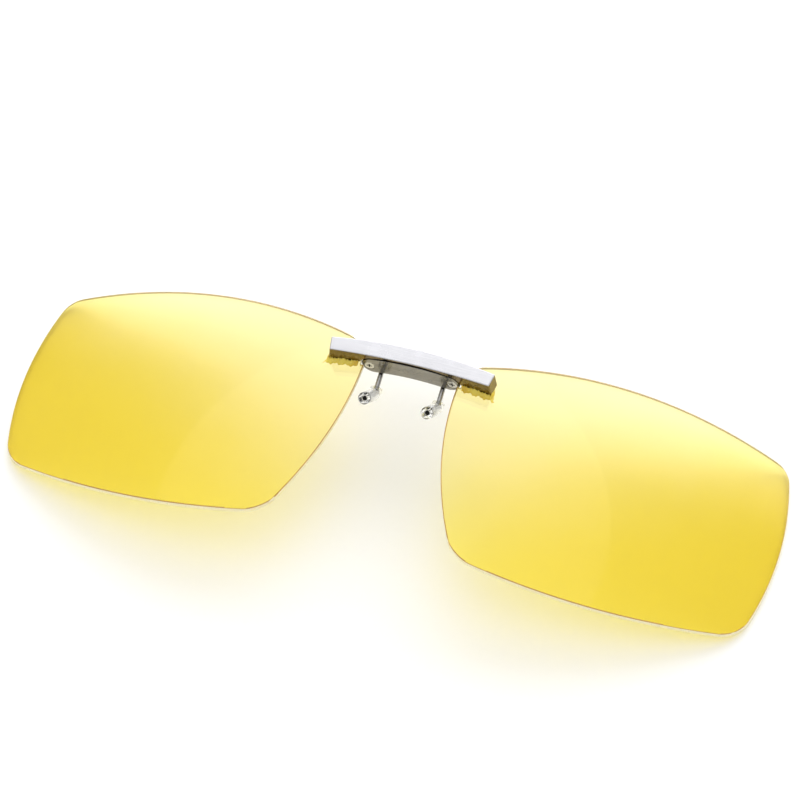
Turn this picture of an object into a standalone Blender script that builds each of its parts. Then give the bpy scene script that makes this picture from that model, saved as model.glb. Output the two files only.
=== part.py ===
"""Clip-on sunglasses: two curved lenses bonded to a slim bridge bar that holds a sprung hook clip.

Frame: metres. The glasses lie front face up on a table. +X runs along the pair, +Y towards the
brow, and +Z out of the front of the lenses. The origin is on the table, below the middle.
"""

from math import atan2, cos, hypot, pi, radians, sin, sqrt, tan

import bpy
import bmesh
from mathutils import Matrix, Vector
from mathutils.geometry import interpolate_bezier

MM = 0.001

# Lenses. Both lie on one sphere. Corner places are measured from the upper nose corner.
LENS_CURVE_RADIUS = 180.0 * MM
LENS_THICKNESS = 1.0 * MM
NOSE_TOP_X = 8.7 * MM
NOSE_BOTTOM_X = 17.2 * MM
TEMPLE_TOP_X = 66.8 * MM
TEMPLE_FLARE = 0.2 * MM         # lower temple corner beyond the upper one
NOSE_SIDE_HEIGHT = 36.6 * MM
TEMPLE_SIDE_HEIGHT = 34.6 * MM
TEMPLE_RISE = 2.2 * MM
BROW_BOW = 4.6 * MM
TEMPLE_BOW = 2.7 * MM
CHEEK_BOW = 3.2 * MM
NOSE_BOW = 2.9 * MM
NOSE_TOP_CORNER = 3.6 * MM
TEMPLE_TOP_CORNER = 2.4 * MM
TEMPLE_BOTTOM_CORNER = 3.4 * MM
NOSE_BOTTOM_CORNER = 3.4 * MM

# Bridge bar
BAR_LENGTH = 29.9 * MM
BAR_HEIGHT = 3.25 * MM
BAR_TOP_BOW = 1.35 * MM
BAR_BOTTOM_BOW = 0.7 * MM
BAR_END_LEAN = 0.4 * MM
BAR_END_DRAFT = 0.45 * MM
BAR_DROP = 0.8 * MM             # top of the bar below the lenses' upper nose corners
BAR_STANDOFF = 2.6 * MM         # front face of the bar ahead of the sphere's front
BAR_BEVEL = 0.2 * MM
TOP_WALL = 0.6 * MM
FRONT_WALL = 1.2 * MM
SIDE_WALL = 2.1 * MM            # cheek between the spring pocket and the end of the housing
SCREW_BOSS = 3.0 * MM           # the same wall ahead of the rocker, where the screws go in
WINDOW_CLEARANCE = 0.45 * MM    # open rocker to the edge of the top wall

# Cover plate and its screws
PLATE_LENGTH = 17.9 * MM
PLATE_WIDTH = 4.1 * MM
PLATE_BOW = 0.66 * MM
PLATE_THICKNESS = 0.55 * MM
PLATE_PROUD = 0.15 * MM
PLATE_SETBACK = 0.6 * MM        # front edge of the plate behind the front face of the bar
PLATE_EDGE_GAP = 0.25 * MM
SEAT_GAP = 0.05 * MM
SCREW_INSET = 1.35 * MM         # screw centre from the end of the plate
SCREW_HEAD_DIAMETER = 2.0 * MM
SCREW_HEAD_HEIGHT = 0.35 * MM
SCREW_THREAD_DIAMETER = 1.0 * MM
SCREW_LENGTH = 1.5 * MM
SCREW_RIM = 0.105 * MM          # bevel round the head
RECESS_LENGTH = 1.3 * MM
RECESS_WIDTH = 0.3 * MM
RECESS_DEPTH = 0.2 * MM

# Hinge pin, rocker and springs
PIN_DIAMETER = 0.8 * MM
PIN_BEHIND = 1.05 * MM          # pin axis behind the ends of the plate
PIN_END_GAP = 0.3 * MM
PIN_EDGE = 0.1 * MM
RUNNING_GAP = 0.05 * MM
HUB_GAP = 0.25 * MM             # rocker hub to the walls round it
ROCKER_SIDE_GAP = 0.3 * MM
CENTRE_KNUCKLE = 3.4 * MM
END_KNUCKLE = 1.6 * MM
TAB_ANGLE = radians(40.0)       # thumb tab leans back from the vertical when closed
TAB_LENGTH = 5.2 * MM
TAB_WIDTH = 9.0 * MM
TAB_THICKNESS = 0.8 * MM
TAB_EDGE = 0.2 * MM
WEB_REACH = 2.3 * MM
TAB_RIBS = 3
RIB_DIAMETER = 0.4 * MM
RIB_PITCH = 0.8 * MM
RIB_END_GAP = 0.8 * MM
SPRING_WIRE = 0.28 * MM
SPRING_TURNS = 5
SPRING_PITCH = 0.36 * MM
SPRING_PIN_GAP = 0.14 * MM
SPRING_LEG = 2.4 * MM
SPRING_TAB_LEG = 1.92 * MM
SPRING_LEG_LIFT = radians(5.0)

# Hooks
HOOK_INSET = 0.85 * MM          # wire in from the end of the rocker
HOOK_WIRE = 0.9 * MM
HOOK_ROOT_UP = 0.5 * MM         # top end of the wire above the pin
HOOK_ROOT_BACK = 1.2 * MM       # and behind it
HOOK_LEG = 5.75 * MM
HOOK_LEG_TILT = radians(12.0)
HOOK_ARM = 7.8 * MM
HOOK_ARM_TILT = radians(52.0)
HOOK_BEND_RADIUS = 1.2 * MM
HOOK_SOCKET_WALL = 0.5 * MM
HOOK_SOCKET_DROP = 0.57 * MM    # underside of the wire's socket below the pin
SLEEVE_WALL = 0.65 * MM
SLEEVE_OVERHANG = 0.35 * MM     # sleeve beyond the tip of the wire
SLEEVE_START = 0.4 * MM         # sleeve begins this far before the bend
SLEEVE_EDGE = 0.18 * MM

# Bond between bar and lenses
ADHESIVE_THICKNESS = 0.3 * MM
ADHESIVE_GAP = 0.05 * MM
ADHESIVE_BEAD = 0.75 * MM       # how far it squeezes out past the bar
ADHESIVE_SPREAD = 0.3 * MM      # and past the bar's end
ADHESIVE_WAVE = 0.16 * MM
ADHESIVE_RIPPLES = 5            # half waves along the bead, with smaller ones over them
ADHESIVE_FINE_RIPPLES = 9
NOTCH_GAP = 0.3 * MM            # lens to housing and plate

# Fineness of the solids
OUTLINE_STEPS = 9
EDGE_STEPS = 16
ROUND_STEPS = 20
BLANK_RINGS = 12
BLANK_STEPS = 72
RIB_STEPS = 12
COIL_STEPS = 12
BEND_STEPS = 8
MERGE = 1e-6
CUT_MARGIN = 1.0 * MM
CORNER_FULLNESS = 0.56
BEVEL_ANGLE = radians(40.0)     # edges sharper than this are bevelled
SMOOTH_ANGLE = radians(35.0)    # and those below this are shaded round


class BowedSide:
    """One side of an outline: a straight run from corner to corner, bowed outwards."""

    def __init__(self, start, end, bow):
        self.start = start
        self.run = end - start
        outward = Vector((-self.run.y, self.run.x)).normalized()
        self.bulge = outward * bow * 4.0

    def point(self, share):
        return self.start + self.run * share + self.bulge * share * (1.0 - share)

    def slope(self, share):
        return self.run + self.bulge * (1.0 - 2.0 * share)


def lens_corners():
    """Corners of the right-hand lens, clockwise from the upper nose corner."""
    return [
        Vector((NOSE_TOP_X, 0.0)),
        Vector((TEMPLE_TOP_X, TEMPLE_RISE)),
        Vector((TEMPLE_TOP_X + TEMPLE_FLARE, TEMPLE_RISE - TEMPLE_SIDE_HEIGHT)),
        Vector((NOSE_BOTTOM_X, -NOSE_SIDE_HEIGHT)),
    ]


def crossing_distances(point, direction, other, other_direction):
    """Distances along two lines to where they cross, the second counted backwards."""
    turn = direction.x * other_direction.y - direction.y * other_direction.x
    gap = other - point
    first = (gap.x * other_direction.y - gap.y * other_direction.x) / turn
    second = (direction.x * gap.y - direction.y * gap.x) / turn
    return first, second


def rounded_outline(corners, bows, corner_lengths, steps):
    """Closed outline with bowed sides, whose corners are rounded over the given lengths."""
    count = len(corners)
    sides = [BowedSide(corners[i], corners[(i + 1) % count], bows[i]) for i in range(count)]
    ends = []
    for i, side in enumerate(sides):
        length = side.run.length
        ends.append((corner_lengths[i] / length, 1.0 - corner_lengths[(i + 1) % count] / length))
    points = []
    for i, side in enumerate(sides):
        low, high = ends[i]
        start = side.point(low)
        end = side.point(high)
        handle = (high - low) / 3.0
        points += interpolate_bezier(start, start + side.slope(low) * handle,
                                     end - side.slope(high) * handle, end, steps)[:-1]
        following = sides[(i + 1) % count]
        low = ends[(i + 1) % count][0]
        corner_end = following.point(low)
        leaving = side.slope(high).normalized()
        arriving = following.slope(low).normalized()
        before, after = crossing_distances(end, leaving, corner_end, arriving)
        points += interpolate_bezier(end, end + leaving * before * CORNER_FULLNESS,
                                     corner_end - arriving * after * CORNER_FULLNESS,
                                     corner_end, steps)[:-1]
    return [Vector((p.x, p.y)) for p in points]


def lens_outline():
    """Outline of the right-hand lens, from its upper nose corner."""
    bows = (BROW_BOW, TEMPLE_BOW, CHEEK_BOW, NOSE_BOW)
    lengths = (NOSE_TOP_CORNER, TEMPLE_TOP_CORNER, TEMPLE_BOTTOM_CORNER, NOSE_BOTTOM_CORNER)
    return rounded_outline(lens_corners(), bows, lengths, OUTLINE_STEPS)


# Places that follow from the sizes
LENS_OUTLINE = lens_outline()
LENS_MID_Y = (max(p.y for p in LENS_OUTLINE) + min(p.y for p in LENS_OUTLINE)) / 2.0
NOSE_Y = -LENS_MID_Y
LENS_REACH = max(hypot(p.x, p.y - LENS_MID_Y) for p in LENS_OUTLINE)
APEX_Z = LENS_CURVE_RADIUS - sqrt((LENS_CURVE_RADIUS - LENS_THICKNESS) ** 2 - LENS_REACH ** 2)

BAR_TOP_Y = NOSE_Y - BAR_DROP
BAR_BOTTOM_Y = BAR_TOP_Y - BAR_HEIGHT
BAR_FRONT_Z = APEX_Z + BAR_STANDOFF
PLATE_OUTER_Y = BAR_BOTTOM_Y - PLATE_PROUD
PLATE_INNER_Y = PLATE_OUTER_Y + PLATE_THICKNESS
PLATE_MID_Z = BAR_FRONT_Z - PLATE_SETBACK - PLATE_WIDTH / 2.0
PLATE_END_X = PLATE_LENGTH / 2.0 - PLATE_WIDTH / 2.0
PLATE_END_Z = PLATE_MID_Z - PLATE_BOW
SCREW_X = PLATE_LENGTH / 2.0 - SCREW_INSET
POCKET_TOP_Y = BAR_TOP_Y - TOP_WALL
POCKET_HALF = PLATE_LENGTH / 2.0 - SIDE_WALL
PIN_Y = (POCKET_TOP_Y + PLATE_INNER_Y) / 2.0
PIN_Z = PLATE_END_Z - PIN_BEHIND
HUB_RADIUS = (POCKET_TOP_Y - PLATE_INNER_Y) / 2.0 - HUB_GAP
ROCKER_HALF = POCKET_HALF - ROCKER_SIDE_GAP
KNUCKLE_INNER = ROCKER_HALF - END_KNUCKLE
HOOK_X = ROCKER_HALF - HOOK_INSET
SLEEVE_DIAMETER = HOOK_WIRE + 2.0 * SLEEVE_WALL
COIL_RADIUS = (PIN_DIAMETER + SPRING_WIRE) / 2.0 + SPRING_PIN_GAP
PIVOT = Vector((0.0, PIN_Y, PIN_Z))


# Scene and materials

def clear_scene():
    """Start from an empty scene."""
    for item in list(bpy.data.objects):
        bpy.data.objects.remove(item, do_unlink=True)


def new_collection(name):
    """A collection linked to the scene."""
    collection = bpy.data.collections.new(name)
    bpy.context.scene.collection.children.link(collection)
    return collection


def make_material(name, colour, roughness, metallic, alpha=1.0):
    """A Principled material with one colour."""
    material = bpy.data.materials.new(name)
    material.use_nodes = True
    shader = material.node_tree.nodes["Principled BSDF"]
    shader.inputs["Base Color"].default_value = (*colour, 1.0)
    shader.inputs["Roughness"].default_value = roughness
    shader.inputs["Metallic"].default_value = metallic
    shader.inputs["Alpha"].default_value = alpha
    return material


def keep(item, material, origin=None):
    """Put a finished part in the object's collection, with its material and its origin."""
    for collection in list(item.users_collection):
        collection.objects.unlink(item)
    PARTS.objects.link(item)
    item.data.materials.clear()
    item.data.materials.append(material)
    if origin is not None:
        shift = Matrix.Translation(item.location - origin)
        item.data.transform(shift)
        item.location = origin
    return item


def tool(item):
    """Put a cutter out of sight in the cutters' collection."""
    for collection in list(item.users_collection):
        collection.objects.unlink(item)
    CUTTERS.objects.link(item)
    item.hide_render = True
    item.display_type = "WIRE"
    return item


# Shapes

def mesh_object(name, data):
    """An object for a mesh, linked to the scene."""
    item = bpy.data.objects.new(name, data)
    bpy.context.scene.collection.objects.link(item)
    return item


def mesh_from_curve(item):
    """Turn a curve object into a mesh object with welded caps, in the same place."""
    bpy.context.view_layer.update()
    name = item.name
    evaluated = item.evaluated_get(bpy.context.evaluated_depsgraph_get())
    data = bpy.data.meshes.new_from_object(evaluated)
    shape = bmesh.new()
    shape.from_mesh(data)
    bmesh.ops.remove_doubles(shape, verts=shape.verts, dist=MERGE)
    bmesh.ops.recalc_face_normals(shape, faces=shape.faces)
    shape.to_mesh(data)
    shape.free()
    data.transform(item.matrix_world)
    bpy.data.objects.remove(item, do_unlink=True)
    return mesh_object(name, data)


def prism(name, outline, low, high, axis="Z"):
    """A flat outline extruded between two levels along an axis.

    The outline is in X and Y for Z, in X and Z for Y, and in Y and Z for X.
    """
    turns = {
        "Z": Matrix.Identity(3),
        "Y": Matrix(((1, 0, 0), (0, 0, -1), (0, 1, 0))),
        "X": Matrix(((0, 0, 1), (1, 0, 0), (0, 1, 0))),
    }
    ways = {"Z": Vector((0, 0, 1)), "Y": Vector((0, 1, 0)), "X": Vector((1, 0, 0))}
    curve = bpy.data.curves.new(name, "CURVE")
    curve.dimensions = "2D"
    curve.fill_mode = "BOTH"
    curve.extrude = (high - low) / 2.0
    spline = curve.splines.new("POLY")
    spline.points.add(len(outline) - 1)
    for place, point in zip(spline.points, outline):
        place.co = (point[0], point[1], 0.0, 1.0)
    spline.use_cyclic_u = True
    item = mesh_object(name, curve)
    item.matrix_world = Matrix.Translation(ways[axis] * (low + high) / 2.0) @ turns[axis].to_4x4()
    return mesh_from_curve(item)


def box(name, low, high):
    """A box between two corners."""
    shape = bmesh.new()
    bmesh.ops.create_cube(shape, size=1.0)
    size = [b - a for a, b in zip(low, high)]
    bmesh.ops.scale(shape, vec=size, verts=shape.verts)
    bmesh.ops.translate(shape, vec=[(a + b) / 2.0 for a, b in zip(low, high)], verts=shape.verts)
    data = bpy.data.meshes.new(name)
    shape.to_mesh(data)
    shape.free()
    return mesh_object(name, data)


def cylinder(name, radius, start, end, steps=ROUND_STEPS):
    """A cylinder from one point to another."""
    run = Vector(end) - Vector(start)
    shape = bmesh.new()
    bmesh.ops.create_cone(shape, cap_ends=True, segments=steps, radius1=radius, radius2=radius,
                          depth=run.length)
    turn = Vector((0, 0, 1)).rotation_difference(run).to_matrix()
    bmesh.ops.rotate(shape, cent=(0, 0, 0), matrix=turn, verts=shape.verts)
    bmesh.ops.translate(shape, vec=(Vector(start) + Vector(end)) / 2.0, verts=shape.verts)
    data = bpy.data.meshes.new(name)
    shape.to_mesh(data)
    shape.free()
    return mesh_object(name, data)


def turned(name, profile, steps):
    """A profile of (radius, height) points, turned about Z."""
    data = bpy.data.meshes.new(name)
    data.from_pydata([(r, 0.0, z) for r, z in profile],
                     [(i, i + 1) for i in range(len(profile) - 1)], [])
    item = mesh_object(name, data)
    screw = item.modifiers.new("Turn", "SCREW")
    screw.axis = "Z"
    screw.steps = steps
    screw.render_steps = steps
    screw.use_merge_vertices = True
    screw.merge_threshold = MERGE
    screw.use_smooth_shade = True
    return item


def round_wire(name, points, diameter):
    """A wire along points, with filled ends."""
    curve = bpy.data.curves.new(name, "CURVE")
    curve.dimensions = "3D"
    curve.bevel_depth = diameter / 2.0
    curve.bevel_resolution = 2
    curve.use_fill_caps = True
    spline = curve.splines.new("POLY")
    spline.points.add(len(points) - 1)
    for place, point in zip(spline.points, points):
        place.co = (*point, 1.0)
    return mesh_object(name, curve)


def combine(item, other, operation):
    """Cut, join or intersect a part with another shape, which becomes a cutter."""
    modifier = item.modifiers.new(operation.title(), "BOOLEAN")
    modifier.operation = operation
    modifier.solver = "EXACT"
    modifier.object = tool(other)


def bevel(item, width, segments=1):
    """Break the sharp edges of a part."""
    modifier = item.modifiers.new("Edges", "BEVEL")
    modifier.width = width
    modifier.segments = segments
    modifier.limit_method = "ANGLE"
    modifier.angle_limit = BEVEL_ANGLE


def bowed_strip(half_top, half_bottom, top_y, top_bow, bottom_y, bottom_bow):
    """Outline of a strip whose long edges are bowed up in the middle."""
    shares = [i / EDGE_STEPS * 2.0 - 1.0 for i in range(EDGE_STEPS + 1)]
    top = [Vector((half_top * s, top_y - top_bow * s * s)) for s in shares]
    bottom = [Vector((half_bottom * s, bottom_y - bottom_bow * s * s)) for s in reversed(shares)]
    return top + bottom


def plate_outline(grow=0.0):
    """Outline of the cover plate in X and Z: a bowed strip of one width with round ends."""
    half = PLATE_WIDTH / 2.0 + grow
    front = []
    rear = []
    for i in range(EDGE_STEPS + 1):
        share = i / EDGE_STEPS * 2.0 - 1.0
        middle = Vector((PLATE_END_X * share, PLATE_MID_Z - PLATE_BOW * share * share))
        slope = Vector((PLATE_END_X, -2.0 * PLATE_BOW * share)).normalized()
        across = Vector((-slope.y, slope.x)) * half
        front.append(middle + across)
        rear.append(middle - across)
    lean = atan2(2.0 * PLATE_BOW, PLATE_END_X)
    half_turn = [pi * i / EDGE_STEPS for i in range(1, EDGE_STEPS)]
    right = [Vector((PLATE_END_X + half * sin(a + lean), PLATE_END_Z + half * cos(a + lean)))
             for a in half_turn]
    left = [Vector((-p.x, p.y)) for p in reversed(right)]
    return front + right + rear[::-1] + left


def sphere_profile(radius):
    """Points down the front of a ball cap, from its pole to beyond the lenses."""
    reach = (LENS_REACH + 2.0 * CUT_MARGIN) / radius
    return [(radius * sin(reach * i / BLANK_RINGS), radius * cos(reach * i / BLANK_RINGS))
            for i in range(BLANK_RINGS + 1)]


def spherical_shell(name, outer, inner):
    """A shell between two radii about the centre of the lenses' sphere."""
    profile = sphere_profile(outer) + sphere_profile(inner)[::-1]
    item = turned(name, profile, BLANK_STEPS)
    item.location = (0.0, 0.0, APEX_Z - LENS_CURVE_RADIUS)
    return item


# Sub-parts

def mirrored(points, side):
    """An outline on one side of the middle: side is 1 on the right and -1 on the left."""
    return [Vector((p[0] * side, p[1])) for p in points]


def build_lens(name, side, material):
    """A lens: its outline cut from the spherical shell, notched for the hinge housing."""
    lens = spherical_shell(name, LENS_CURVE_RADIUS, LENS_CURVE_RADIUS - LENS_THICKNESS)
    outline = [Vector((p.x, p.y - LENS_MID_Y)) for p in LENS_OUTLINE]
    trim = prism(name + "_outline", mirrored(outline, side), -CUT_MARGIN, APEX_Z + CUT_MARGIN)
    combine(lens, trim, "INTERSECT")
    notch_x = PLATE_LENGTH / 2.0 + NOTCH_GAP
    notch_y = PLATE_OUTER_Y - NOTCH_GAP
    corners = sorted((0.0, notch_x * side))
    notch = box(name + "_notch", (corners[0], notch_y, 0.0),
                (corners[1], NOSE_Y + BROW_BOW, APEX_Z + CUT_MARGIN))
    combine(lens, notch, "DIFFERENCE")
    return keep(lens, material)


def adhesive_outline():
    """Outline of one bond: the bar's end, with a wavy bead squeezed out below and beyond it."""
    inner = PLATE_LENGTH / 2.0 + 2.0 * NOTCH_GAP
    bar_end = BAR_LENGTH / 2.0 + BAR_END_DRAFT
    outer = bar_end + ADHESIVE_SPREAD
    top = BAR_TOP_Y - BAR_TOP_BOW - ADHESIVE_SPREAD
    low = BAR_BOTTOM_Y - BAR_BOTTOM_BOW - ADHESIVE_BEAD
    points = [Vector((inner, top)), Vector((bar_end - ADHESIVE_SPREAD, top)),
              Vector((outer, low + ADHESIVE_BEAD))]
    for i in range(EDGE_STEPS + 1):
        share = i / EDGE_STEPS
        wave = ADHESIVE_WAVE * (sin(ADHESIVE_RIPPLES * pi * share)
                                + 0.5 * sin(ADHESIVE_FINE_RIPPLES * pi * share + 1.0))
        rise = BAR_BOTTOM_BOW * 0.5 * share
        points.append(Vector((outer + (inner - outer) * share, low + rise + wave)))
    return points


def build_adhesive(name, side, material):
    """The bond between one end of the bar and its lens."""
    inner = LENS_CURVE_RADIUS + ADHESIVE_GAP
    bond = spherical_shell(name, inner + ADHESIVE_THICKNESS, inner)
    trim = prism(name + "_outline", mirrored(adhesive_outline(), side), APEX_Z / 2.0, BAR_FRONT_Z)
    combine(bond, trim, "INTERSECT")
    return keep(bond, material)


def sphere_clearance():
    """Everything behind the bond, which is cut from the back of the bar."""
    radius = LENS_CURVE_RADIUS + 2.0 * ADHESIVE_GAP + ADHESIVE_THICKNESS
    front = sphere_profile(radius)
    floor = radius - 2.0 * APEX_Z
    profile = front + [(front[-1][0], floor), (0.0, floor)]
    item = turned("bar_back", profile, BLANK_STEPS)
    item.location = (0.0, 0.0, APEX_Z - LENS_CURVE_RADIUS)
    return item


def build_bar(material):
    """The die-cast bar: a bowed beam across the lenses, with a pocket for the clip behind it."""
    half_top = BAR_LENGTH / 2.0
    outline = bowed_strip(half_top, half_top - BAR_END_LEAN, BAR_TOP_Y, BAR_TOP_BOW,
                          BAR_BOTTOM_Y, BAR_BOTTOM_BOW)
    rear = APEX_Z - 2.0 * LENS_THICKNESS
    bar = prism("bridge_bar", outline, rear, BAR_FRONT_Z)
    draft = 1.0 + BAR_END_DRAFT / half_top
    for vertex in bar.data.vertices:
        if vertex.co.z < APEX_Z:
            vertex.co.x *= draft
    bevel(bar, BAR_BEVEL, 2)
    combine(bar, sphere_clearance(), "DIFFERENCE")
    housing = prism("bar_housing", plate_outline(), BAR_BOTTOM_Y - BAR_BOTTOM_BOW,
                    BAR_TOP_Y - BAR_BEVEL, "Y")
    combine(bar, housing, "UNION")
    low = BAR_BOTTOM_Y - BAR_BOTTOM_BOW - CUT_MARGIN
    rear = PLATE_END_Z - PLATE_WIDTH / 2.0 - CUT_MARGIN
    seat = prism("plate_seat", plate_outline(PLATE_EDGE_GAP), low, PLATE_INNER_Y + SEAT_GAP, "Y")
    combine(bar, seat, "DIFFERENCE")
    window_z = PIN_Z + TAB_THICKNESS / 2.0 + WINDOW_CLEARANCE
    window = box("tab_window", (-POCKET_HALF, low, rear), (POCKET_HALF, NOSE_Y, window_z))
    combine(bar, window, "DIFFERENCE")
    hub_room = PIN_Z + HUB_RADIUS + HUB_GAP
    pocket = box("hub_pocket", (-POCKET_HALF, low, rear), (POCKET_HALF, POCKET_TOP_Y, hub_room))
    combine(bar, pocket, "DIFFERENCE")
    spring_half = PLATE_LENGTH / 2.0 - SCREW_BOSS
    spring_room = box("spring_pocket", (-spring_half, low, PIN_Z),
                      (spring_half, POCKET_TOP_Y, BAR_FRONT_Z - FRONT_WALL))
    combine(bar, spring_room, "DIFFERENCE")
    pin_hole = cylinder("pin_hole", PIN_DIAMETER / 2.0 + RUNNING_GAP,
                        (-PLATE_LENGTH, PIN_Y, PIN_Z), (PLATE_LENGTH, PIN_Y, PIN_Z))
    combine(bar, pin_hole, "DIFFERENCE")
    for side in (-1, 1):
        hole = cylinder("screw_hole", SCREW_THREAD_DIAMETER / 2.0 + SEAT_GAP,
                        (side * SCREW_X, low, screw_z()),
                        (side * SCREW_X, screw_tip_y() + SEAT_GAP, screw_z()))
        combine(bar, hole, "DIFFERENCE")
    return keep(bar, material, Vector((0.0, BAR_TOP_Y - BAR_HEIGHT / 2.0, APEX_Z)))


def screw_z():
    """Height of the screws, on the middle line of the plate."""
    share = SCREW_X / PLATE_END_X
    return PLATE_MID_Z - PLATE_BOW * share * share


def screw_tip_y():
    """Inner end of the screws."""
    return PLATE_OUTER_Y + SCREW_HEAD_HEIGHT + SCREW_LENGTH


def build_plate(material):
    """The cover plate, with a counterbored hole at each end."""
    plate = prism("cover_plate", plate_outline(), PLATE_OUTER_Y, PLATE_INNER_Y, "Y")
    for side in (-1, 1):
        x = side * SCREW_X
        sink = cylinder("head_sink", SCREW_HEAD_DIAMETER / 2.0 + SEAT_GAP,
                        (x, PLATE_OUTER_Y - CUT_MARGIN, screw_z()),
                        (x, PLATE_OUTER_Y + SCREW_HEAD_HEIGHT + SEAT_GAP, screw_z()))
        combine(plate, sink, "DIFFERENCE")
        hole = cylinder("thread_clearance", SCREW_THREAD_DIAMETER / 2.0 + 2.0 * SEAT_GAP,
                        (x, PLATE_OUTER_Y, screw_z()),
                        (x, PLATE_INNER_Y + CUT_MARGIN, screw_z()))
        combine(plate, hole, "DIFFERENCE")
    return keep(plate, material, Vector((0.0, PLATE_OUTER_Y, PLATE_MID_Z)))


def build_screw(name, side, material):
    """A small cross-recess screw, head outwards in the cover plate."""
    thread = SCREW_THREAD_DIAMETER / 2.0
    head = SCREW_HEAD_DIAMETER / 2.0
    profile = [(0.0, SCREW_HEAD_HEIGHT), (head - SCREW_RIM, SCREW_HEAD_HEIGHT),
               (head, SCREW_HEAD_HEIGHT - SCREW_RIM), (head, 0.0), (thread, 0.0),
               (thread, thread - SCREW_LENGTH), (thread / 2.0, -SCREW_LENGTH),
               (0.0, -SCREW_LENGTH)]
    screw = turned(name, profile, ROUND_STEPS)
    screw.rotation_euler = (pi / 2.0, 0.0, 0.0)
    screw.location = (side * SCREW_X, PLATE_OUTER_Y + SCREW_HEAD_HEIGHT, screw_z())
    long_half = RECESS_LENGTH / 2.0
    wide_half = RECESS_WIDTH / 2.0
    for turn in (0, 1):
        x = (long_half, wide_half)[turn]
        z = (wide_half, long_half)[turn]
        slot = box("slot", (side * SCREW_X - x, PLATE_OUTER_Y - CUT_MARGIN, screw_z() - z),
                   (side * SCREW_X + x, PLATE_OUTER_Y + RECESS_DEPTH, screw_z() + z))
        combine(screw, slot, "DIFFERENCE")
    return keep(screw, material)


def build_pin(material):
    """The hinge pin, from cheek to cheek of the housing."""
    reach = sqrt((PLATE_WIDTH / 2.0) ** 2 - PIN_BEHIND ** 2)
    half = PLATE_END_X + reach - PIN_END_GAP
    pin = cylinder("hinge_pin", PIN_DIAMETER / 2.0, (-half, PIN_Y, PIN_Z), (half, PIN_Y, PIN_Z))
    bevel(pin, PIN_EDGE)
    return keep(pin, material, PIVOT)


def tab_point(along, across):
    """A point in Y and Z, along the thumb tab from the pin and across its thickness."""
    way = Vector((cos(TAB_ANGLE), -sin(TAB_ANGLE)))
    side = Vector((sin(TAB_ANGLE), cos(TAB_ANGLE)))
    return Vector((PIN_Y, PIN_Z)) + way * along + side * across


def tab_slab(name, half_width, start, end):
    """A slab of the thumb tab between two distances from the pin."""
    half = TAB_THICKNESS / 2.0
    outline = [tab_point(start, half), tab_point(start, -half), tab_point(end, -half),
               tab_point(end, half)]
    return prism(name, outline, -half_width, half_width, "X")


def hook_socket(side):
    """The block behind the hub that holds one hook wire."""
    outer = HOOK_WIRE / 2.0 + HOOK_SOCKET_WALL
    low_x, high_x = sorted((side * KNUCKLE_INNER, side * ROCKER_HALF))
    root = hook_corners()[0]
    rear = root.y - outer
    return box("hook_socket", (low_x, PIN_Y - HOOK_SOCKET_DROP, rear),
               (high_x, root.x + HOOK_SOCKET_WALL, PIN_Z))


def build_rocker(material):
    """The rocker: knuckles on the pin, a thumb tab above them and a socket for each hook."""
    middle = CENTRE_KNUCKLE / 2.0
    rocker = cylinder("rocker", HUB_RADIUS, (-ROCKER_HALF, PIN_Y, PIN_Z),
                      (ROCKER_HALF, PIN_Y, PIN_Z), 2 * ROUND_STEPS)
    combine(rocker, tab_slab("rocker_web", ROCKER_HALF - RUNNING_GAP, 0.0, WEB_REACH), "UNION")
    for side in (-1, 1):
        low_x, high_x = sorted((side * middle, side * KNUCKLE_INNER))
        room = cylinder("spring_room", COIL_RADIUS + SPRING_WIRE + HUB_GAP, (low_x, PIN_Y, PIN_Z),
                        (high_x, PIN_Y, PIN_Z))
        combine(rocker, room, "DIFFERENCE")
        combine(rocker, hook_socket(side), "UNION")
    tab = tab_slab("rocker_tab", TAB_WIDTH / 2.0, WEB_REACH - TAB_THICKNESS, TAB_LENGTH)
    bevel(tab, TAB_EDGE, 2)
    combine(rocker, tab, "UNION")
    for i in range(TAB_RIBS):
        place = tab_point(TAB_LENGTH - RIB_PITCH * (1 + i), -TAB_THICKNESS / 2.0)
        reach = TAB_WIDTH / 2.0 - RIB_END_GAP
        rib = cylinder("tab_rib", RIB_DIAMETER / 2.0, (-reach, *place), (reach, *place), RIB_STEPS)
        combine(rocker, rib, "UNION")
    bore = cylinder("rocker_bore", PIN_DIAMETER / 2.0 + RUNNING_GAP, (-PLATE_LENGTH, PIN_Y, PIN_Z),
                    (PLATE_LENGTH, PIN_Y, PIN_Z))
    combine(rocker, bore, "DIFFERENCE")
    root, corner, _ = hook_corners()
    up = (root - corner).normalized() * RUNNING_GAP
    for side in (-1, 1):
        x = side * HOOK_X
        socket = cylinder("wire_socket", HOOK_WIRE / 2.0 + RUNNING_GAP, (x, *(root + up)),
                          (x, *corner), ROUND_STEPS)
        combine(rocker, socket, "DIFFERENCE")
    return keep(rocker, material, PIVOT)


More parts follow.
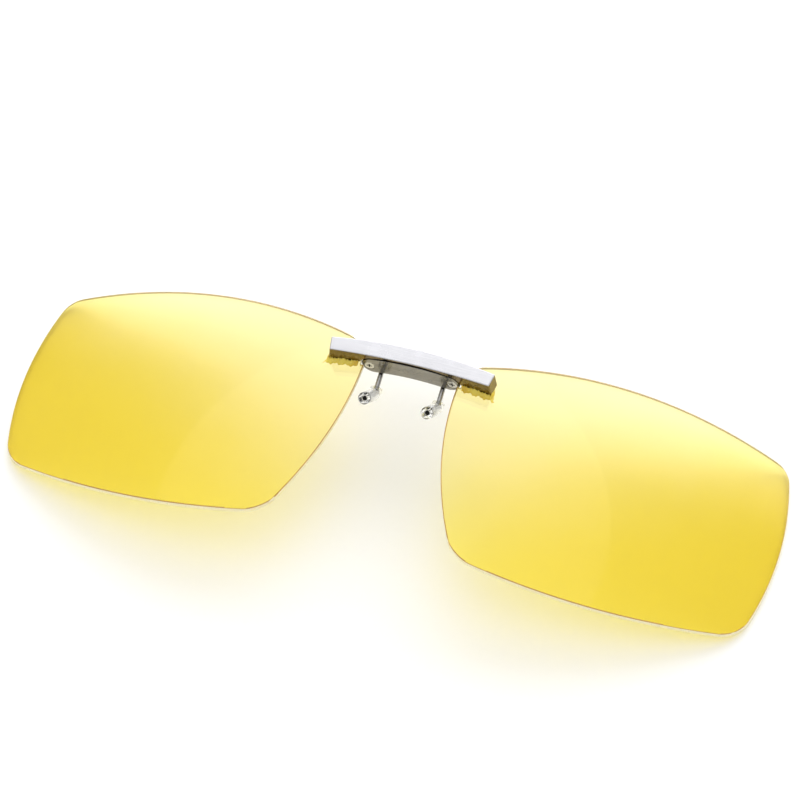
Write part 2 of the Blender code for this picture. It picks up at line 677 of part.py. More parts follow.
def spring_points(side):
    """Path of a torsion spring: a leg on the tab, turns round the pin and a leg in the bar."""
    first = pi / 2.0 - TAB_ANGLE
    last = 2.0 * pi * SPRING_TURNS - SPRING_LEG_LIFT
    middle = (CENTRE_KNUCKLE / 2.0 + KNUCKLE_INNER) / 2.0
    turned_by = last - first
    length = SPRING_PITCH * turned_by / (2.0 * pi)
    steps = COIL_STEPS * SPRING_TURNS
    points = []
    for i in range(steps + 1):
        angle = first + turned_by * i / steps
        x = middle - length / 2.0 + length * i / steps
        points.append(Vector((side * x, COIL_RADIUS * cos(angle), COIL_RADIUS * sin(angle))))
    arriving = Vector((0.0, sin(first), -cos(first)))
    leaving = Vector((0.0, -sin(last), cos(last)))
    points.insert(0, points[0] + arriving * SPRING_TAB_LEG)
    points.append(points[-1] + leaving * SPRING_LEG)
    return points


def build_spring(name, side, material):
    """A torsion spring on the pin."""
    spring = round_wire(name, spring_points(side), SPRING_WIRE)
    spring.location = PIVOT
    return keep(spring, material)


def hook_corners():
    """Root, bend corner and tip of a hook wire, in Y and Z."""
    root = Vector((PIN_Y + HOOK_ROOT_UP, PIN_Z - HOOK_ROOT_BACK))
    corner = root + Vector((-cos(HOOK_LEG_TILT), -sin(HOOK_LEG_TILT))) * HOOK_LEG
    tip = corner + Vector((-cos(HOOK_ARM_TILT), sin(HOOK_ARM_TILT))) * HOOK_ARM
    return root, corner, tip


def hook_bend():
    """Points round the bend of a hook wire, in Y and Z."""
    _, corner, _ = hook_corners()
    turn = HOOK_LEG_TILT + HOOK_ARM_TILT
    setback = HOOK_BEND_RADIUS * tan(turn / 2.0)
    start = corner + Vector((cos(HOOK_LEG_TILT), sin(HOOK_LEG_TILT))) * setback
    centre = start + Vector((-sin(HOOK_LEG_TILT), cos(HOOK_LEG_TILT))) * HOOK_BEND_RADIUS
    points = []
    for i in range(BEND_STEPS + 1):
        angle = -HOOK_LEG_TILT + turn * i / BEND_STEPS
        points.append(centre + Vector((-sin(angle), -cos(angle))) * HOOK_BEND_RADIUS)
    return points


def on_pivot(points, x):
    """Points in Y and Z as places round the pin, at one distance from the middle."""
    return [Vector((x, p.x - PIN_Y, p.y - PIN_Z)) for p in points]


def build_hook(name, side, material):
    """A hook wire: a leg down from the rocker and an arm bent forwards."""
    root, _, tip = hook_corners()
    path = on_pivot([root] + hook_bend() + [tip], side * HOOK_X)
    wire = round_wire(name, path, HOOK_WIRE)
    return keep(wire, material)


def build_sleeve(name, side, material):
    """The soft sleeve over the arm of a hook, open at both ends."""
    _, _, tip = hook_corners()
    bend = hook_bend()
    into = (bend[0] - bend[1]).normalized()
    out = (tip - bend[-1]).normalized()
    x = side * HOOK_X
    start = bend[0] + into * SLEEVE_START
    end = tip + out * SLEEVE_OVERHANG
    sleeve = mesh_from_curve(round_wire(name, on_pivot([start] + bend + [end], x),
                                        SLEEVE_DIAMETER))
    bevel(sleeve, SLEEVE_EDGE)
    longer = [start + into * CUT_MARGIN] + bend + [end + out * CUT_MARGIN]
    core = mesh_from_curve(round_wire(name + "_core", on_pivot(longer, x),
                                      HOOK_WIRE + 2.0 * RUNNING_GAP))
    core.parent = PIVOT_EMPTY
    combine(sleeve, core, "DIFFERENCE")
    return keep(sleeve, material)


def build_pivot():
    """The empty on the pin's axis, which carries everything that rocks."""
    pivot = bpy.data.objects.new("clip_pivot", None)
    pivot.location = PIVOT
    pivot.empty_display_size = PIN_DIAMETER
    PARTS.objects.link(pivot)
    return pivot


def shade_round(item):
    """Shade a mesh part smooth, with its sharp edges kept."""
    if item.type != "MESH":
        return
    item.data.shade_smooth()
    item.data.set_sharp_from_angle(angle=SMOOTH_ANGLE)


def build_all():
    """Build every sub-part of the glasses."""
    satin = make_material("satin_alloy", (0.86, 0.85, 0.87), 0.35, 0.9)
    plate_steel = make_material("plate_steel", (0.62, 0.59, 0.55), 0.22, 1.0)
    screw_steel = make_material("screw_steel", (0.66, 0.64, 0.6), 0.25, 1.0)
    pin_steel = make_material("pin_steel", (0.55, 0.55, 0.56), 0.3, 1.0)
    rocker_steel = make_material("rocker_steel", (0.5, 0.5, 0.52), 0.35, 1.0)
    spring_steel = make_material("spring_steel", (0.4, 0.4, 0.42), 0.3, 1.0)
    hook_steel = make_material("hook_steel", (0.6, 0.59, 0.57), 0.15, 1.0)
    silicone = make_material("clear_silicone", (0.93, 0.93, 0.91), 0.3, 0.0, 0.5)
    lens_yellow = make_material("yellow_lens", (1.0, 0.84, 0.3), 0.05, 0.0, 0.45)
    glue = make_material("amber_adhesive", (0.78, 0.55, 0.12), 0.25, 0.0)

    build_bar(satin)
    build_plate(plate_steel)
    build_pin(pin_steel)
    moving = [build_rocker(rocker_steel)]
    moving[0].location -= PIVOT
    for label, side in (("left", -1), ("right", 1)):
        build_lens("lens_" + label, side, lens_yellow)
        build_adhesive("lens_adhesive_" + label, side, glue)
        build_screw("cover_screw_" + label, side, screw_steel)
        build_spring("torsion_spring_" + label, side, spring_steel)
        moving.append(build_hook("hook_wire_" + label, side, hook_steel))
        moving.append(build_sleeve("hook_sleeve_" + label, side, silicone))
    for item in moving:
        item.parent = PIVOT_EMPTY
    for item in PARTS.objects:
        shade_round(item)


clear_scene()
PARTS = new_collection("clip_on_sunglasses")
CUTTERS = new_collection("cutters")
PIVOT_EMPTY = build_pivot()
build_all()
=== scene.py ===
"""Finished look of a pair of yellow clip-on lenses on a bridge bar with a sprung hook clip.

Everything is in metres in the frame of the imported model: +X along the pair, +Y towards the brow,
+Z out of the front of the lenses, with the origin on the table below the middle.
"""

from __future__ import annotations

import logging
from collections.abc import Callable, Iterator, Sequence
from contextlib import contextmanager
from dataclasses import dataclass
from enum import Enum
from functools import lru_cache
from math import atan2, cos, pi, radians, sin, sqrt, tan

import bmesh
import bpy
from mathutils import Matrix, Vector
from mathutils.geometry import interpolate_bezier


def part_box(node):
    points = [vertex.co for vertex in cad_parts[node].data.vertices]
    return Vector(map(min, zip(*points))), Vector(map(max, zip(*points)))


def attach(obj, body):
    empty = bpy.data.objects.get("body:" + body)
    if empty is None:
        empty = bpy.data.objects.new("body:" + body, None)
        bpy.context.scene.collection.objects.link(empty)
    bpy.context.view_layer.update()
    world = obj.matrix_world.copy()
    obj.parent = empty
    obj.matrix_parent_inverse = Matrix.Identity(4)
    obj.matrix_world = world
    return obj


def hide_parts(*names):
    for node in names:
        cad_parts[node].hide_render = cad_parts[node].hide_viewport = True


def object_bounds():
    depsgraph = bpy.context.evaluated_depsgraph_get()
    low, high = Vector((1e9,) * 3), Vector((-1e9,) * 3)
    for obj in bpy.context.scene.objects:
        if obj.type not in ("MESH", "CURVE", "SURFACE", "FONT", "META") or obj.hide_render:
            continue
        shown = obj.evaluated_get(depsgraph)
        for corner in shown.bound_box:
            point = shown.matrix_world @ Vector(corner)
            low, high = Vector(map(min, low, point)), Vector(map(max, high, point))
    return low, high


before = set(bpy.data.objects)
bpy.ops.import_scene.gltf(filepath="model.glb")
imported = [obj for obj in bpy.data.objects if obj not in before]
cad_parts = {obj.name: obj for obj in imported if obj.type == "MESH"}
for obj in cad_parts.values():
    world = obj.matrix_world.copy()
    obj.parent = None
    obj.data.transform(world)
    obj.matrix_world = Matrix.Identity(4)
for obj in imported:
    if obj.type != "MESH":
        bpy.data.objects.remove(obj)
CAD_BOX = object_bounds()

LOG = logging.getLogger("clip_on_glasses")
MM = 0.001
MERGE = 1e-7
RIM = radians(60.0)
CORNER = radians(50.0)
LONG_EDGE = radians(35.0)
X_AXIS = Vector((1.0, 0.0, 0.0))
Z_AXIS = Vector((0.0, 0.0, 1.0))


class Body(Enum):
    """The two bodies that the pieces ride on."""

    BRIDGE = "bridge"
    CLIP = "clip"


class Side(Enum):
    """The two halves of the pair, with the sign of their X."""

    LEFT = -1
    RIGHT = 1

    @property
    def label(self) -> str:
        """The word that ends a piece's name."""
        return self.name.lower()


# Modelling


class Bench:
    """Blender's modelling operators, used on one piece at a time."""

    @staticmethod
    def clear() -> None:
        """Leave edit mode and deselect everything."""
        if bpy.context.mode != "OBJECT":
            bpy.ops.object.mode_set(mode="OBJECT")
        bpy.ops.object.select_all(action="DESELECT")

    @classmethod
    def take(cls, piece: bpy.types.Object) -> None:
        """Make one piece the selected and active one.

        Args:
            piece: the object to work on.
        """
        cls.clear()
        piece.select_set(True)
        bpy.context.view_layer.objects.active = piece

    @classmethod
    @contextmanager
    def editing(cls, piece: bpy.types.Object, kind: str = "EDGE") -> Iterator[None]:
        """Edit a piece with nothing selected.

        Args:
            piece: the object to edit.
            kind: what is selected, VERT, EDGE or FACE.

        Yields:
            Nothing, while the piece is in edit mode.
        """
        cls.take(piece)
        bpy.ops.object.mode_set(mode="EDIT")
        bpy.ops.mesh.select_mode(type=kind)
        bpy.ops.mesh.select_all(action="DESELECT")
        yield
        bpy.ops.object.mode_set(mode="OBJECT")

    @staticmethod
    def pick(piece: bpy.types.Object, kind: str, test: Callable[..., bool]) -> None:
        """Select the parts of a mesh in edit mode that pass a test.

        Args:
            piece: the object in edit mode.
            kind: what is tested, VERT, EDGE or FACE.
            test: takes a mesh element and says whether it is wanted.
        """
        shape = bmesh.from_edit_mesh(piece.data)
        items = {"VERT": shape.verts, "EDGE": shape.edges, "FACE": shape.faces}[kind]
        for item in items:
            if test(item):
                item.select_set(True)
        shape.select_flush_mode()
        bmesh.update_edit_mesh(piece.data)

    @classmethod
    def named(cls, name: str) -> bpy.types.Object:
        """Name the new active object, apply its place and return it.

        Args:
            name: the new object's name.

        Returns:
            The object.
        """
        piece = bpy.context.object
        piece.name = name
        piece.data.name = name
        bpy.ops.object.transform_apply(location=True, rotation=True, scale=True)
        return piece

    @classmethod
    def block(cls, name: str, low: Sequence[float], high: Sequence[float]) -> bpy.types.Object:
        """A box between two corners.

        Args:
            name: the new object's name.
            low: lowest corner.
            high: highest corner.

        Returns:
            The object.
        """
        cls.clear()
        middle = [(a + b) / 2.0 for a, b in zip(low, high)]
        spans = [b - a for a, b in zip(low, high)]
        bpy.ops.mesh.primitive_cube_add(size=1.0, location=middle, scale=spans)
        return cls.named(name)

    @classmethod
    def rod(cls, name: str, radius: float, start: Sequence[float], end: Sequence[float],
            sides: int = 64) -> bpy.types.Object:
        """A cylinder from one point to another.

        Args:
            name: the new object's name.
            radius: of its round section.
            start: where it starts.
            end: where it ends.
            sides: faces round it.

        Returns:
            The object.
        """
        cls.clear()
        run = Vector(end) - Vector(start)
        bpy.ops.mesh.primitive_cylinder_add(
            vertices=sides, radius=radius, depth=run.length,
            location=(Vector(start) + Vector(end)) / 2.0,
            rotation=run.to_track_quat("Z", "Y").to_euler())
        return cls.named(name)

    @classmethod
    def slab(cls, name: str, outline: Sequence[Vector], rise: Vector) -> bpy.types.Object:
        """A flat outline, filled and extruded.

        Args:
            name: the piece's name.
            outline: the corners of the first face, in order round it.
            rise: how far and which way it is extruded.

        Returns:
            The closed solid.
        """
        cls.clear()
        bpy.ops.mesh.primitive_circle_add(vertices=len(outline), radius=MM, fill_type="NGON")
        piece = cls.named(name)
        for vertex, place in zip(piece.data.vertices, outline):
            vertex.co = place
        with cls.editing(piece, "FACE"):
            bpy.ops.mesh.select_all(action="SELECT")
            bpy.ops.mesh.extrude_region_move(TRANSFORM_OT_translate={"value": rise})
        cls.outward(piece)
        return piece

    @classmethod
    def outward(cls, piece: bpy.types.Object) -> None:
        """Merge doubles and turn every face outwards.

        Args:
            piece: the object to work on.
        """
        with cls.editing(piece, "VERT"):
            bpy.ops.mesh.select_all(action="SELECT")
            bpy.ops.mesh.remove_doubles(threshold=MERGE)
            bpy.ops.mesh.normals_make_consistent(inside=False)

    @classmethod
    def modify(cls, piece: bpy.types.Object, kind: str, **settings: object) -> None:
        """Add one modifier, set it and apply it.

        Args:
            piece: the object to work on.
            kind: the modifier type.
            **settings: its properties by name.
        """
        cls.take(piece)
        bpy.ops.object.modifier_add(type=kind)
        modifier = piece.modifiers[-1]
        for key, value in settings.items():
            setattr(modifier, key, value)
        bpy.ops.object.modifier_apply(modifier=modifier.name)

    @classmethod
    def combine(cls, piece: bpy.types.Object, other: bpy.types.Object, operation: str) -> None:
        """Join or cut a piece with another shape, which is used up."""
        cls.modify(piece, "BOOLEAN", operation=operation, solver="EXACT", object=other)
        bpy.data.objects.remove(other, do_unlink=True)

    @classmethod
    def cut(cls, piece: bpy.types.Object, *others: bpy.types.Object) -> None:
        """Cut shapes out of a piece."""
        for other in others:
            cls.combine(piece, other, "DIFFERENCE")

    @classmethod
    def join(cls, piece: bpy.types.Object, *others: bpy.types.Object) -> None:
        """Join shapes to a piece as one body."""
        for other in others:
            cls.combine(piece, other, "UNION")

    @classmethod
    def soften(cls, piece: bpy.types.Object, width: float, segments: int = 3,
               angle: float = LONG_EDGE, clamp: bool = True) -> bpy.types.Object:
        """Round the edges that are sharper than an angle.

        Args:
            piece: the object to work on.
            width: of the rounding.
            segments: faces across the rounding.
            angle: the least angle between faces that counts.
            clamp: whether it is kept from overlapping.

        Returns:
            The object.
        """
        with cls.editing(piece, "EDGE"):
            bpy.ops.mesh.edges_select_sharp(sharpness=angle)
            bpy.ops.mesh.bevel(offset=width, segments=segments, affect="EDGES", clamp_overlap=clamp)
        return piece

    @classmethod
    def smooth(cls, piece: bpy.types.Object, angle: float = radians(32.0)) -> None:
        """Shade a piece smooth with its sharp edges kept, the large faces leading.

        Args:
            piece: the object to work on.
            angle: the least angle between faces that counts.
        """
        cls.take(piece)
        bpy.ops.object.shade_smooth_by_angle(angle=angle)
        cls.modify(piece, "WEIGHTED_NORMAL", keep_sharp=True)

    @classmethod
    def ring(cls, name: str, centre: Vector, facing: Vector, radius: float,
             sides: int) -> bpy.types.Object:
        """An open circle of edges that faces a direction.

        Args:
            name: the new object's name.
            centre: its middle.
            facing: the way it faces.
            radius: of its round section.
            sides: faces round it.

        Returns:
            The object.
        """
        cls.clear()
        bpy.ops.mesh.primitive_circle_add(vertices=sides, radius=radius, location=centre,
                                          rotation=facing.to_track_quat("Z", "Y").to_euler())
        return cls.named(name)

    @classmethod
    def cap(cls, piece: bpy.types.Object) -> None:
        """Close the open ends of a tube.

        Args:
            piece: the object to work on.
        """
        with cls.editing(piece, "EDGE"):
            bpy.ops.mesh.select_non_manifold(extend=False, use_wire=False, use_multi_face=False,
                                             use_non_contiguous=False, use_verts=False)
            bpy.ops.mesh.fill_holes(sides=0)


# Materials


class Group(Enum):
    """The effects that several finishes share, as shader node groups."""

    BRUSHED = "brushed_grain"
    HANDLING = "handling_marks"
    WORN_EDGE = "worn_edge"
    MOTTLE = "mottle"


class Sketch:
    """A node tree, with short ways to add and join its nodes."""

    def __init__(self, tree: bpy.types.NodeTree) -> None:
        """Work on a material's or group's tree."""
        self.tree = tree

    def add(self, kind: str, **settings: object) -> bpy.types.Node:
        """Add a node and set its properties.

        Args:
            kind: the node type.
            **settings: its properties by name.

        Returns:
            The node.
        """
        node = self.tree.nodes.new(kind)
        for key, value in settings.items():
            setattr(node, key, value)
        return node

    def feed(self, target: bpy.types.NodeSocket, value: object) -> None:
        """Give an input a value, or link it to an output.

        Args:
            target: the input.
            value: a constant or an output.
        """
        if isinstance(value, bpy.types.NodeSocket):
            self.tree.links.new(value, target)
        else:
            target.default_value = value

    def maths(self, operation: str, first: object, second: object = 0.0,
              clamp: bool = False) -> bpy.types.NodeSocket:
        """A Math node on two values.

        Args:
            operation: what the node does.
            first: a constant or an output.
            second: a constant or an output.
            clamp: whether the result is kept from 0 to 1.

        Returns:
            The output.
        """
        node = self.add("ShaderNodeMath", operation=operation, use_clamp=clamp)
        self.feed(node.inputs[0], first)
        self.feed(node.inputs[1], second)
        return node.outputs[0]

    def span(self, value: object, low: float, high: float, to_low: float = 0.0,
             to_high: float = 1.0) -> bpy.types.NodeSocket:
        """A smooth step of a value between two levels.

        Args:
            value: what is stepped.
            low: where the step starts.
            high: where it ends.
            to_low: result below the step.
            to_high: result above it.

        Returns:
            The output.
        """
        node = self.add("ShaderNodeMapRange", interpolation_type="SMOOTHSTEP")
        for key, item in zip(("Value", "From Min", "From Max", "To Min", "To Max"),
                             (value, low, high, to_low, to_high)):
            self.feed(node.inputs[key], item)
        return node.outputs["Result"]

    def noise(self, vector: object, scale: object, detail: float = 3.0,
              roughness: float = 0.55) -> bpy.types.NodeSocket:
        """A noise texture's value at points.

        Args:
            vector: the points.
            scale: size of the pattern, per metre.
            detail: octaves.
            roughness: strength of the finer octaves.

        Returns:
            The output.
        """
        node = self.add("ShaderNodeTexNoise")
        self.feed(node.inputs["Vector"], vector)
        self.feed(node.inputs["Scale"], scale)
        node.inputs["Detail"].default_value = detail
        node.inputs["Roughness"].default_value = roughness
        return node.outputs["Fac"]

    def stretch(self, vector: object, scale: Sequence[float]) -> bpy.types.NodeSocket:
        """Points scaled along each axis.

        Args:
            vector: the points.
            scale: along each axis.

        Returns:
            The output.
        """
        node = self.add("ShaderNodeMapping")
        self.feed(node.inputs["Vector"], vector)
        node.inputs["Scale"].default_value = scale
        return node.outputs["Vector"]

    def blend(self, share: object, first: object, second: object) -> bpy.types.NodeSocket:
        """A colour mixed from two.

        Args:
            share: share of the second colour.
            first: a colour or an output.
            second: a colour or an output.

        Returns:
            The output.
        """
        node = self.add("ShaderNodeMix", data_type="RGBA")
        self.feed(node.inputs[0], share)
        for socket, value in zip(node.inputs[6:8], (first, second)):
            self.feed(socket, (*value, 1.0) if isinstance(value, tuple) else value)
        return node.outputs[2]


class Effects:
    """Builds each shared node group once."""

    @staticmethod
    def group(kind: Group) -> bpy.types.NodeTree:
        """The node group for an effect, built when it is first asked for.

        Args:
            kind: which effect.

        Returns:
            The node group.
        """
        known = bpy.data.node_groups.get(kind.value)
        if known is not None:
            return known
        builders = {Group.BRUSHED: Effects.brushed, Group.HANDLING: Effects.handling,
                    Group.WORN_EDGE: Effects.worn_edge, Group.MOTTLE: Effects.mottle}
        return builders[kind](bpy.data.node_groups.new(kind.value, "ShaderNodeTree"))

    @staticmethod
    def sockets(tree: bpy.types.NodeTree, inputs: dict[str, str],
                outputs: dict[str, str]) -> tuple[Sketch, bpy.types.Node, bpy.types.Node]:
        """Give a group its named inputs and outputs.

        Args:
            tree: the node group.
            inputs: socket types by name.
            outputs: socket types by name.

        Returns:
            A sketch of the tree, its input node and its output node.
        """
        for way, names in (("INPUT", inputs), ("OUTPUT", outputs)):
            for name, kind in names.items():
                tree.interface.new_socket(name=name, in_out=way, socket_type=kind)
        sketch = Sketch(tree)
        return sketch, sketch.add("NodeGroupInput"), sketch.add("NodeGroupOutput")

    @staticmethod
    def brushed(tree: bpy.types.NodeTree) -> bpy.types.NodeTree:
        """Fine lines along X, as brushing and drawing leave them.

        Args:
            tree: the empty node group.

        Returns:
            The node group.
        """
        sketch, given, made = Effects.sockets(
            tree, {"Vector": "NodeSocketVector", "Scale": "NodeSocketFloat"},
            {"Height": "NodeSocketFloat", "Mask": "NodeSocketFloat"})
        along = sketch.stretch(given.outputs["Vector"], (0.018, 1.0, 1.0))
        lines = sketch.noise(along, given.outputs["Scale"], 4.0, 0.65)
        broad = sketch.noise(along, sketch.maths("MULTIPLY", given.outputs["Scale"], 0.21), 2.0)
        sketch.feed(made.inputs["Height"], sketch.maths("ADD", lines, broad))
        sketch.feed(made.inputs["Mask"], sketch.span(lines, 0.35, 0.7))
        return tree

    @staticmethod
    def handling(tree: bpy.types.NodeTree) -> bpy.types.NodeTree:
        """Soft smudges with a few hairline scratches across them.

        Args:
            tree: the empty node group.

        Returns:
            The node group.
        """
        sketch, given, made = Effects.sockets(
            tree, {"Vector": "NodeSocketVector", "Scale": "NodeSocketFloat",
                   "Scratches": "NodeSocketFloat"},
            {"Smudge": "NodeSocketFloat", "Scratch": "NodeSocketFloat"})
        smudge = sketch.noise(given.outputs["Vector"], given.outputs["Scale"], 2.5, 0.5)
        turned = sketch.add("ShaderNodeMapping")
        sketch.feed(turned.inputs["Vector"], given.outputs["Vector"])
        turned.inputs["Rotation"].default_value = (0.2, 0.1, 0.7)
        turned.inputs["Scale"].default_value = (0.05, 1.0, 1.0)
        hairs = sketch.noise(turned.outputs["Vector"],
                             sketch.maths("MULTIPLY", given.outputs["Scale"], 26.0), 1.0)
        scratch = sketch.span(hairs, 0.70, 0.76)
        sketch.feed(made.inputs["Smudge"], sketch.span(smudge, 0.42, 0.68))
        sketch.feed(made.inputs["Scratch"],
                    sketch.maths("MULTIPLY", scratch, given.outputs["Scratches"]))
        return tree

    @staticmethod
    def worn_edge(tree: bpy.types.NodeTree) -> bpy.types.NodeTree:
        """Convex edges, rubbed bright in an uneven line.

        Args:
            tree: the empty node group.

        Returns:
            The node group.
        """
        sketch, given, made = Effects.sockets(
            tree, {"Vector": "NodeSocketVector", "Scale": "NodeSocketFloat",
                   "Amount": "NodeSocketFloat"}, {"Mask": "NodeSocketFloat"})
        geometry = sketch.add("ShaderNodeNewGeometry")
        edge = sketch.span(geometry.outputs["Pointiness"], 0.505, 0.57)
        uneven = sketch.noise(given.outputs["Vector"], given.outputs["Scale"], 2.0)
        rubbed = sketch.maths("MULTIPLY", edge, sketch.span(uneven, 0.3, 0.62))
        sketch.feed(made.inputs["Mask"],
                    sketch.maths("MULTIPLY", rubbed, given.outputs["Amount"], clamp=True))
        return tree

    @staticmethod
    def mottle(tree: bpy.types.NodeTree) -> bpy.types.NodeTree:
        """A fine pitted skin with broad, faint clouds.

        Args:
            tree: the empty node group.

        Returns:
            The node group.
        """
        sketch, given, made = Effects.sockets(
            tree, {"Vector": "NodeSocketVector", "Scale": "NodeSocketFloat"},
            {"Height": "NodeSocketFloat", "Cloud": "NodeSocketFloat"})
        fine = sketch.noise(given.outputs["Vector"], given.outputs["Scale"], 2.0, 0.7)
        broad = sketch.noise(given.outputs["Vector"],
                             sketch.maths("MULTIPLY", given.outputs["Scale"], 0.06), 2.0)
        sketch.feed(made.inputs["Height"], fine)
        sketch.feed(made.inputs["Cloud"], sketch.span(broad, 0.35, 0.65))
        return tree


class Paint(Sketch):
    """A material under construction: its Principled shader and its Object coordinates."""

    def __init__(self, name: str) -> None:
        """Start a material with the named finish.

        Args:
            name: name of the finish.
        """
        self.material = bpy.data.materials.new(name)
        self.material.use_nodes = True
        super().__init__(self.material.node_tree)
        self.shader = self.tree.nodes["Principled BSDF"]
        self.place = self.add("ShaderNodeTexCoord").outputs["Object"]

    def effect(self, kind: Group, **values: object) -> bpy.types.Node:
        """Place a shared effect, reading this material's coordinates.

        Args:
            kind: which effect.
            **values: the group's other inputs by name.

        Returns:
            The node.
        """
        node = self.add("ShaderNodeGroup", node_tree=Effects.group(kind))
        self.feed(node.inputs["Vector"], self.place)
        for key, value in values.items():
            self.feed(node.inputs[key], value)
        return node

    def bump(self, height: bpy.types.NodeSocket, depth: float, strength: float = 1.0,
             under: bpy.types.NodeSocket | None = None) -> bpy.types.NodeSocket:
        """A normal bent by a height, over an earlier bump if one is given.

        Args:
            height: an output with the height.
            depth: the height that a value of 1 stands for, in metres.
            strength: how much it bends the normal.
            under: an earlier bump.

        Returns:
            The output.
        """
        node = self.add("ShaderNodeBump")
        node.inputs["Strength"].default_value = strength
        node.inputs["Distance"].default_value = depth
        self.feed(node.inputs["Height"], height)
        if under is not None:
            self.feed(node.inputs["Normal"], under)
        return node.outputs["Normal"]

    def set(self, **values: object) -> bpy.types.Material:
        """Feed the shader's inputs, with underscores for the spaces in their names.

        Args:
            **values: constants or outputs by input name.

        Returns:
            The material.
        """
        for key, value in values.items():
            colour = (*value, 1.0) if isinstance(value, tuple) and len(value) == 3 else value
            self.feed(self.shader.inputs[key.replace("_", " ")], colour)
        return self.material


@dataclass(frozen=True)
class Metal:
    """A metal finish with grain, handling marks and rubbed edges.

    Attributes:
        name: the finish, in a maker's words.
        slot: the record's material slot; not used here.
        bright: colour of clean, rubbed metal.
        dull: colour in the grain and hollows.
        roughness: on clean metal.
        grain_scale: lines per metre.
        grain_depth: height of the grain in metres.
        smudges: how much the smudges dull the surface.
        scratches: how strong the hairline scratches are.
        wear: how bright the edges are rubbed.
    """

    name: str
    slot: str
    bright: tuple[float, float, float]
    dull: tuple[float, float, float]
    roughness: float
    grain_scale: float = 9000.0
    grain_depth: float = 0.6e-6
    smudges: float = 0.10
    scratches: float = 0.5
    wear: float = 0.6

    def material(self) -> bpy.types.Material:
        """Build the finish.

        Returns:
            The material.
        """
        paint = Paint(self.name)
        grain = paint.effect(Group.BRUSHED, Scale=self.grain_scale)
        marks = paint.effect(Group.HANDLING, Scale=420.0, Scratches=self.scratches)
        edge = paint.effect(Group.WORN_EDGE, Scale=1500.0, Amount=self.wear)
        cast = paint.effect(Group.MOTTLE, Scale=14000.0)
        tone = paint.blend(grain.outputs["Mask"], self.dull, self.bright)
        clouded = paint.blend(paint.maths("MULTIPLY", cast.outputs["Cloud"], 0.35), tone, self.dull)
        colour = paint.blend(edge.outputs["Mask"], clouded, self.bright)
        rough = paint.maths("ADD", self.roughness,
                            paint.maths("MULTIPLY", marks.outputs["Smudge"], self.smudges))
        rough = paint.maths("ADD", rough, paint.maths("MULTIPLY", marks.outputs["Scratch"], 0.15))
        rough = paint.maths("SUBTRACT", rough,
                            paint.maths("MULTIPLY", edge.outputs["Mask"], self.roughness * 0.4))
        lines = paint.bump(grain.outputs["Height"], self.grain_depth)
        scored = paint.bump(marks.outputs["Scratch"], self.grain_depth, under=lines)
        skin = paint.bump(cast.outputs["Height"], self.grain_depth, under=scored)
        return paint.set(Base_Color=colour, Roughness=rough, Metallic=1.0, Normal=skin)


@dataclass(frozen=True)
class TintedLens:
    """Yellow see-through plastic, deeper in tint towards the lower outer corner; the paler tint at
    the top and by the nose is a painted reflection.

    Attributes:
        name: the finish.
        slot: the record's material slot; not used here.
        pale: tint at the top and by the nose, lightened there as a painted reflection.
        deep: tint at the lower outer corner.
        shade: tint of the light that falls through it.
    """

    name: str
    slot: str
    pale: tuple[float, float, float]
    deep: tuple[float, float, float]
    shade: tuple[float, float, float]

    def material(self, side: Side) -> bpy.types.Material:
        """Build the finish for one lens.

        Args:
            side: which half of the pair.

        Returns:
            The material.
        """
        paint = Paint(f"{self.name}_{side.label}")
        parts = paint.add("ShaderNodeSeparateXYZ")
        paint.feed(parts.inputs[0], paint.place)
        out = paint.maths("MULTIPLY", parts.outputs["X"], float(side.value))
        down = paint.maths("MULTIPLY", parts.outputs["Y"], -1.0)
        # The tint runs from pale at the top and by the nose, a painted reflection, to deep at the
        # lower outer corner.
        slope = paint.maths("ADD", paint.maths("MULTIPLY", out, 0.62), down)
        cloud = paint.effect(Group.MOTTLE, Scale=900.0)
        drift = paint.maths("MULTIPLY", cloud.outputs["Cloud"], 3.0 * MM)
        depth = paint.span(paint.maths("ADD", slope, drift), 4.0 * MM, 44.0 * MM)
        marks = paint.effect(Group.HANDLING, Scale=160.0, Scratches=0.35)
        rough = paint.maths("ADD", 0.02, paint.maths("MULTIPLY", marks.outputs["Smudge"], 0.035))
        rough = paint.maths("ADD", rough, paint.maths("MULTIPLY", marks.outputs["Scratch"], 0.05))
        ripple = paint.bump(cloud.outputs["Height"], 0.3e-6)
        paint.set(Base_Color=paint.blend(depth, self.pale, self.deep), Roughness=rough,
                  Metallic=0.0, IOR=1.5, Transmission_Weight=1.0, Normal=ripple)
        clear = paint.add("ShaderNodeBsdfTransparent")
        clear.inputs["Color"].default_value = (*self.shade, 1.0)
        mix = paint.add("ShaderNodeMixShader")
        paint.feed(mix.inputs[0], paint.add("ShaderNodeLightPath").outputs["Is Shadow Ray"])
        paint.feed(mix.inputs[1], paint.shader.outputs["BSDF"])
        paint.feed(mix.inputs[2], clear.outputs["BSDF"])
        paint.feed(paint.tree.nodes["Material Output"].inputs["Surface"], mix.outputs[0])
        return paint.material


@dataclass(frozen=True)
class GroundEdge:
    """The ground rim of a lens: the tint seen edge on, dulled by the wheel's fine lines.

    Attributes:
        name: the finish.
        slot: the record's material slot; not used here.
        light: colour between the wheel's lines.
        dark: colour in them.
    """

    name: str
    slot: str
    light: tuple[float, float, float]
    dark: tuple[float, float, float]

    def material(self) -> bpy.types.Material:
        """Build the finish.

        Returns:
            The material.
        """
        paint = Paint(self.name)
        lines = paint.noise(paint.stretch(paint.place, (1.0, 1.0, 0.04)), 6000.0, 3.0)
        cloud = paint.effect(Group.MOTTLE, Scale=3000.0)
        share = paint.maths("MULTIPLY", paint.span(lines, 0.3, 0.7), cloud.outputs["Cloud"])
        return paint.set(Base_Color=paint.blend(share, self.light, self.dark),
                         Roughness=paint.span(lines, 0.3, 0.7, 0.25, 0.4), Metallic=0.0, IOR=1.5,
                         Transmission_Weight=0.0, Normal=paint.bump(lines, 0.4e-6))


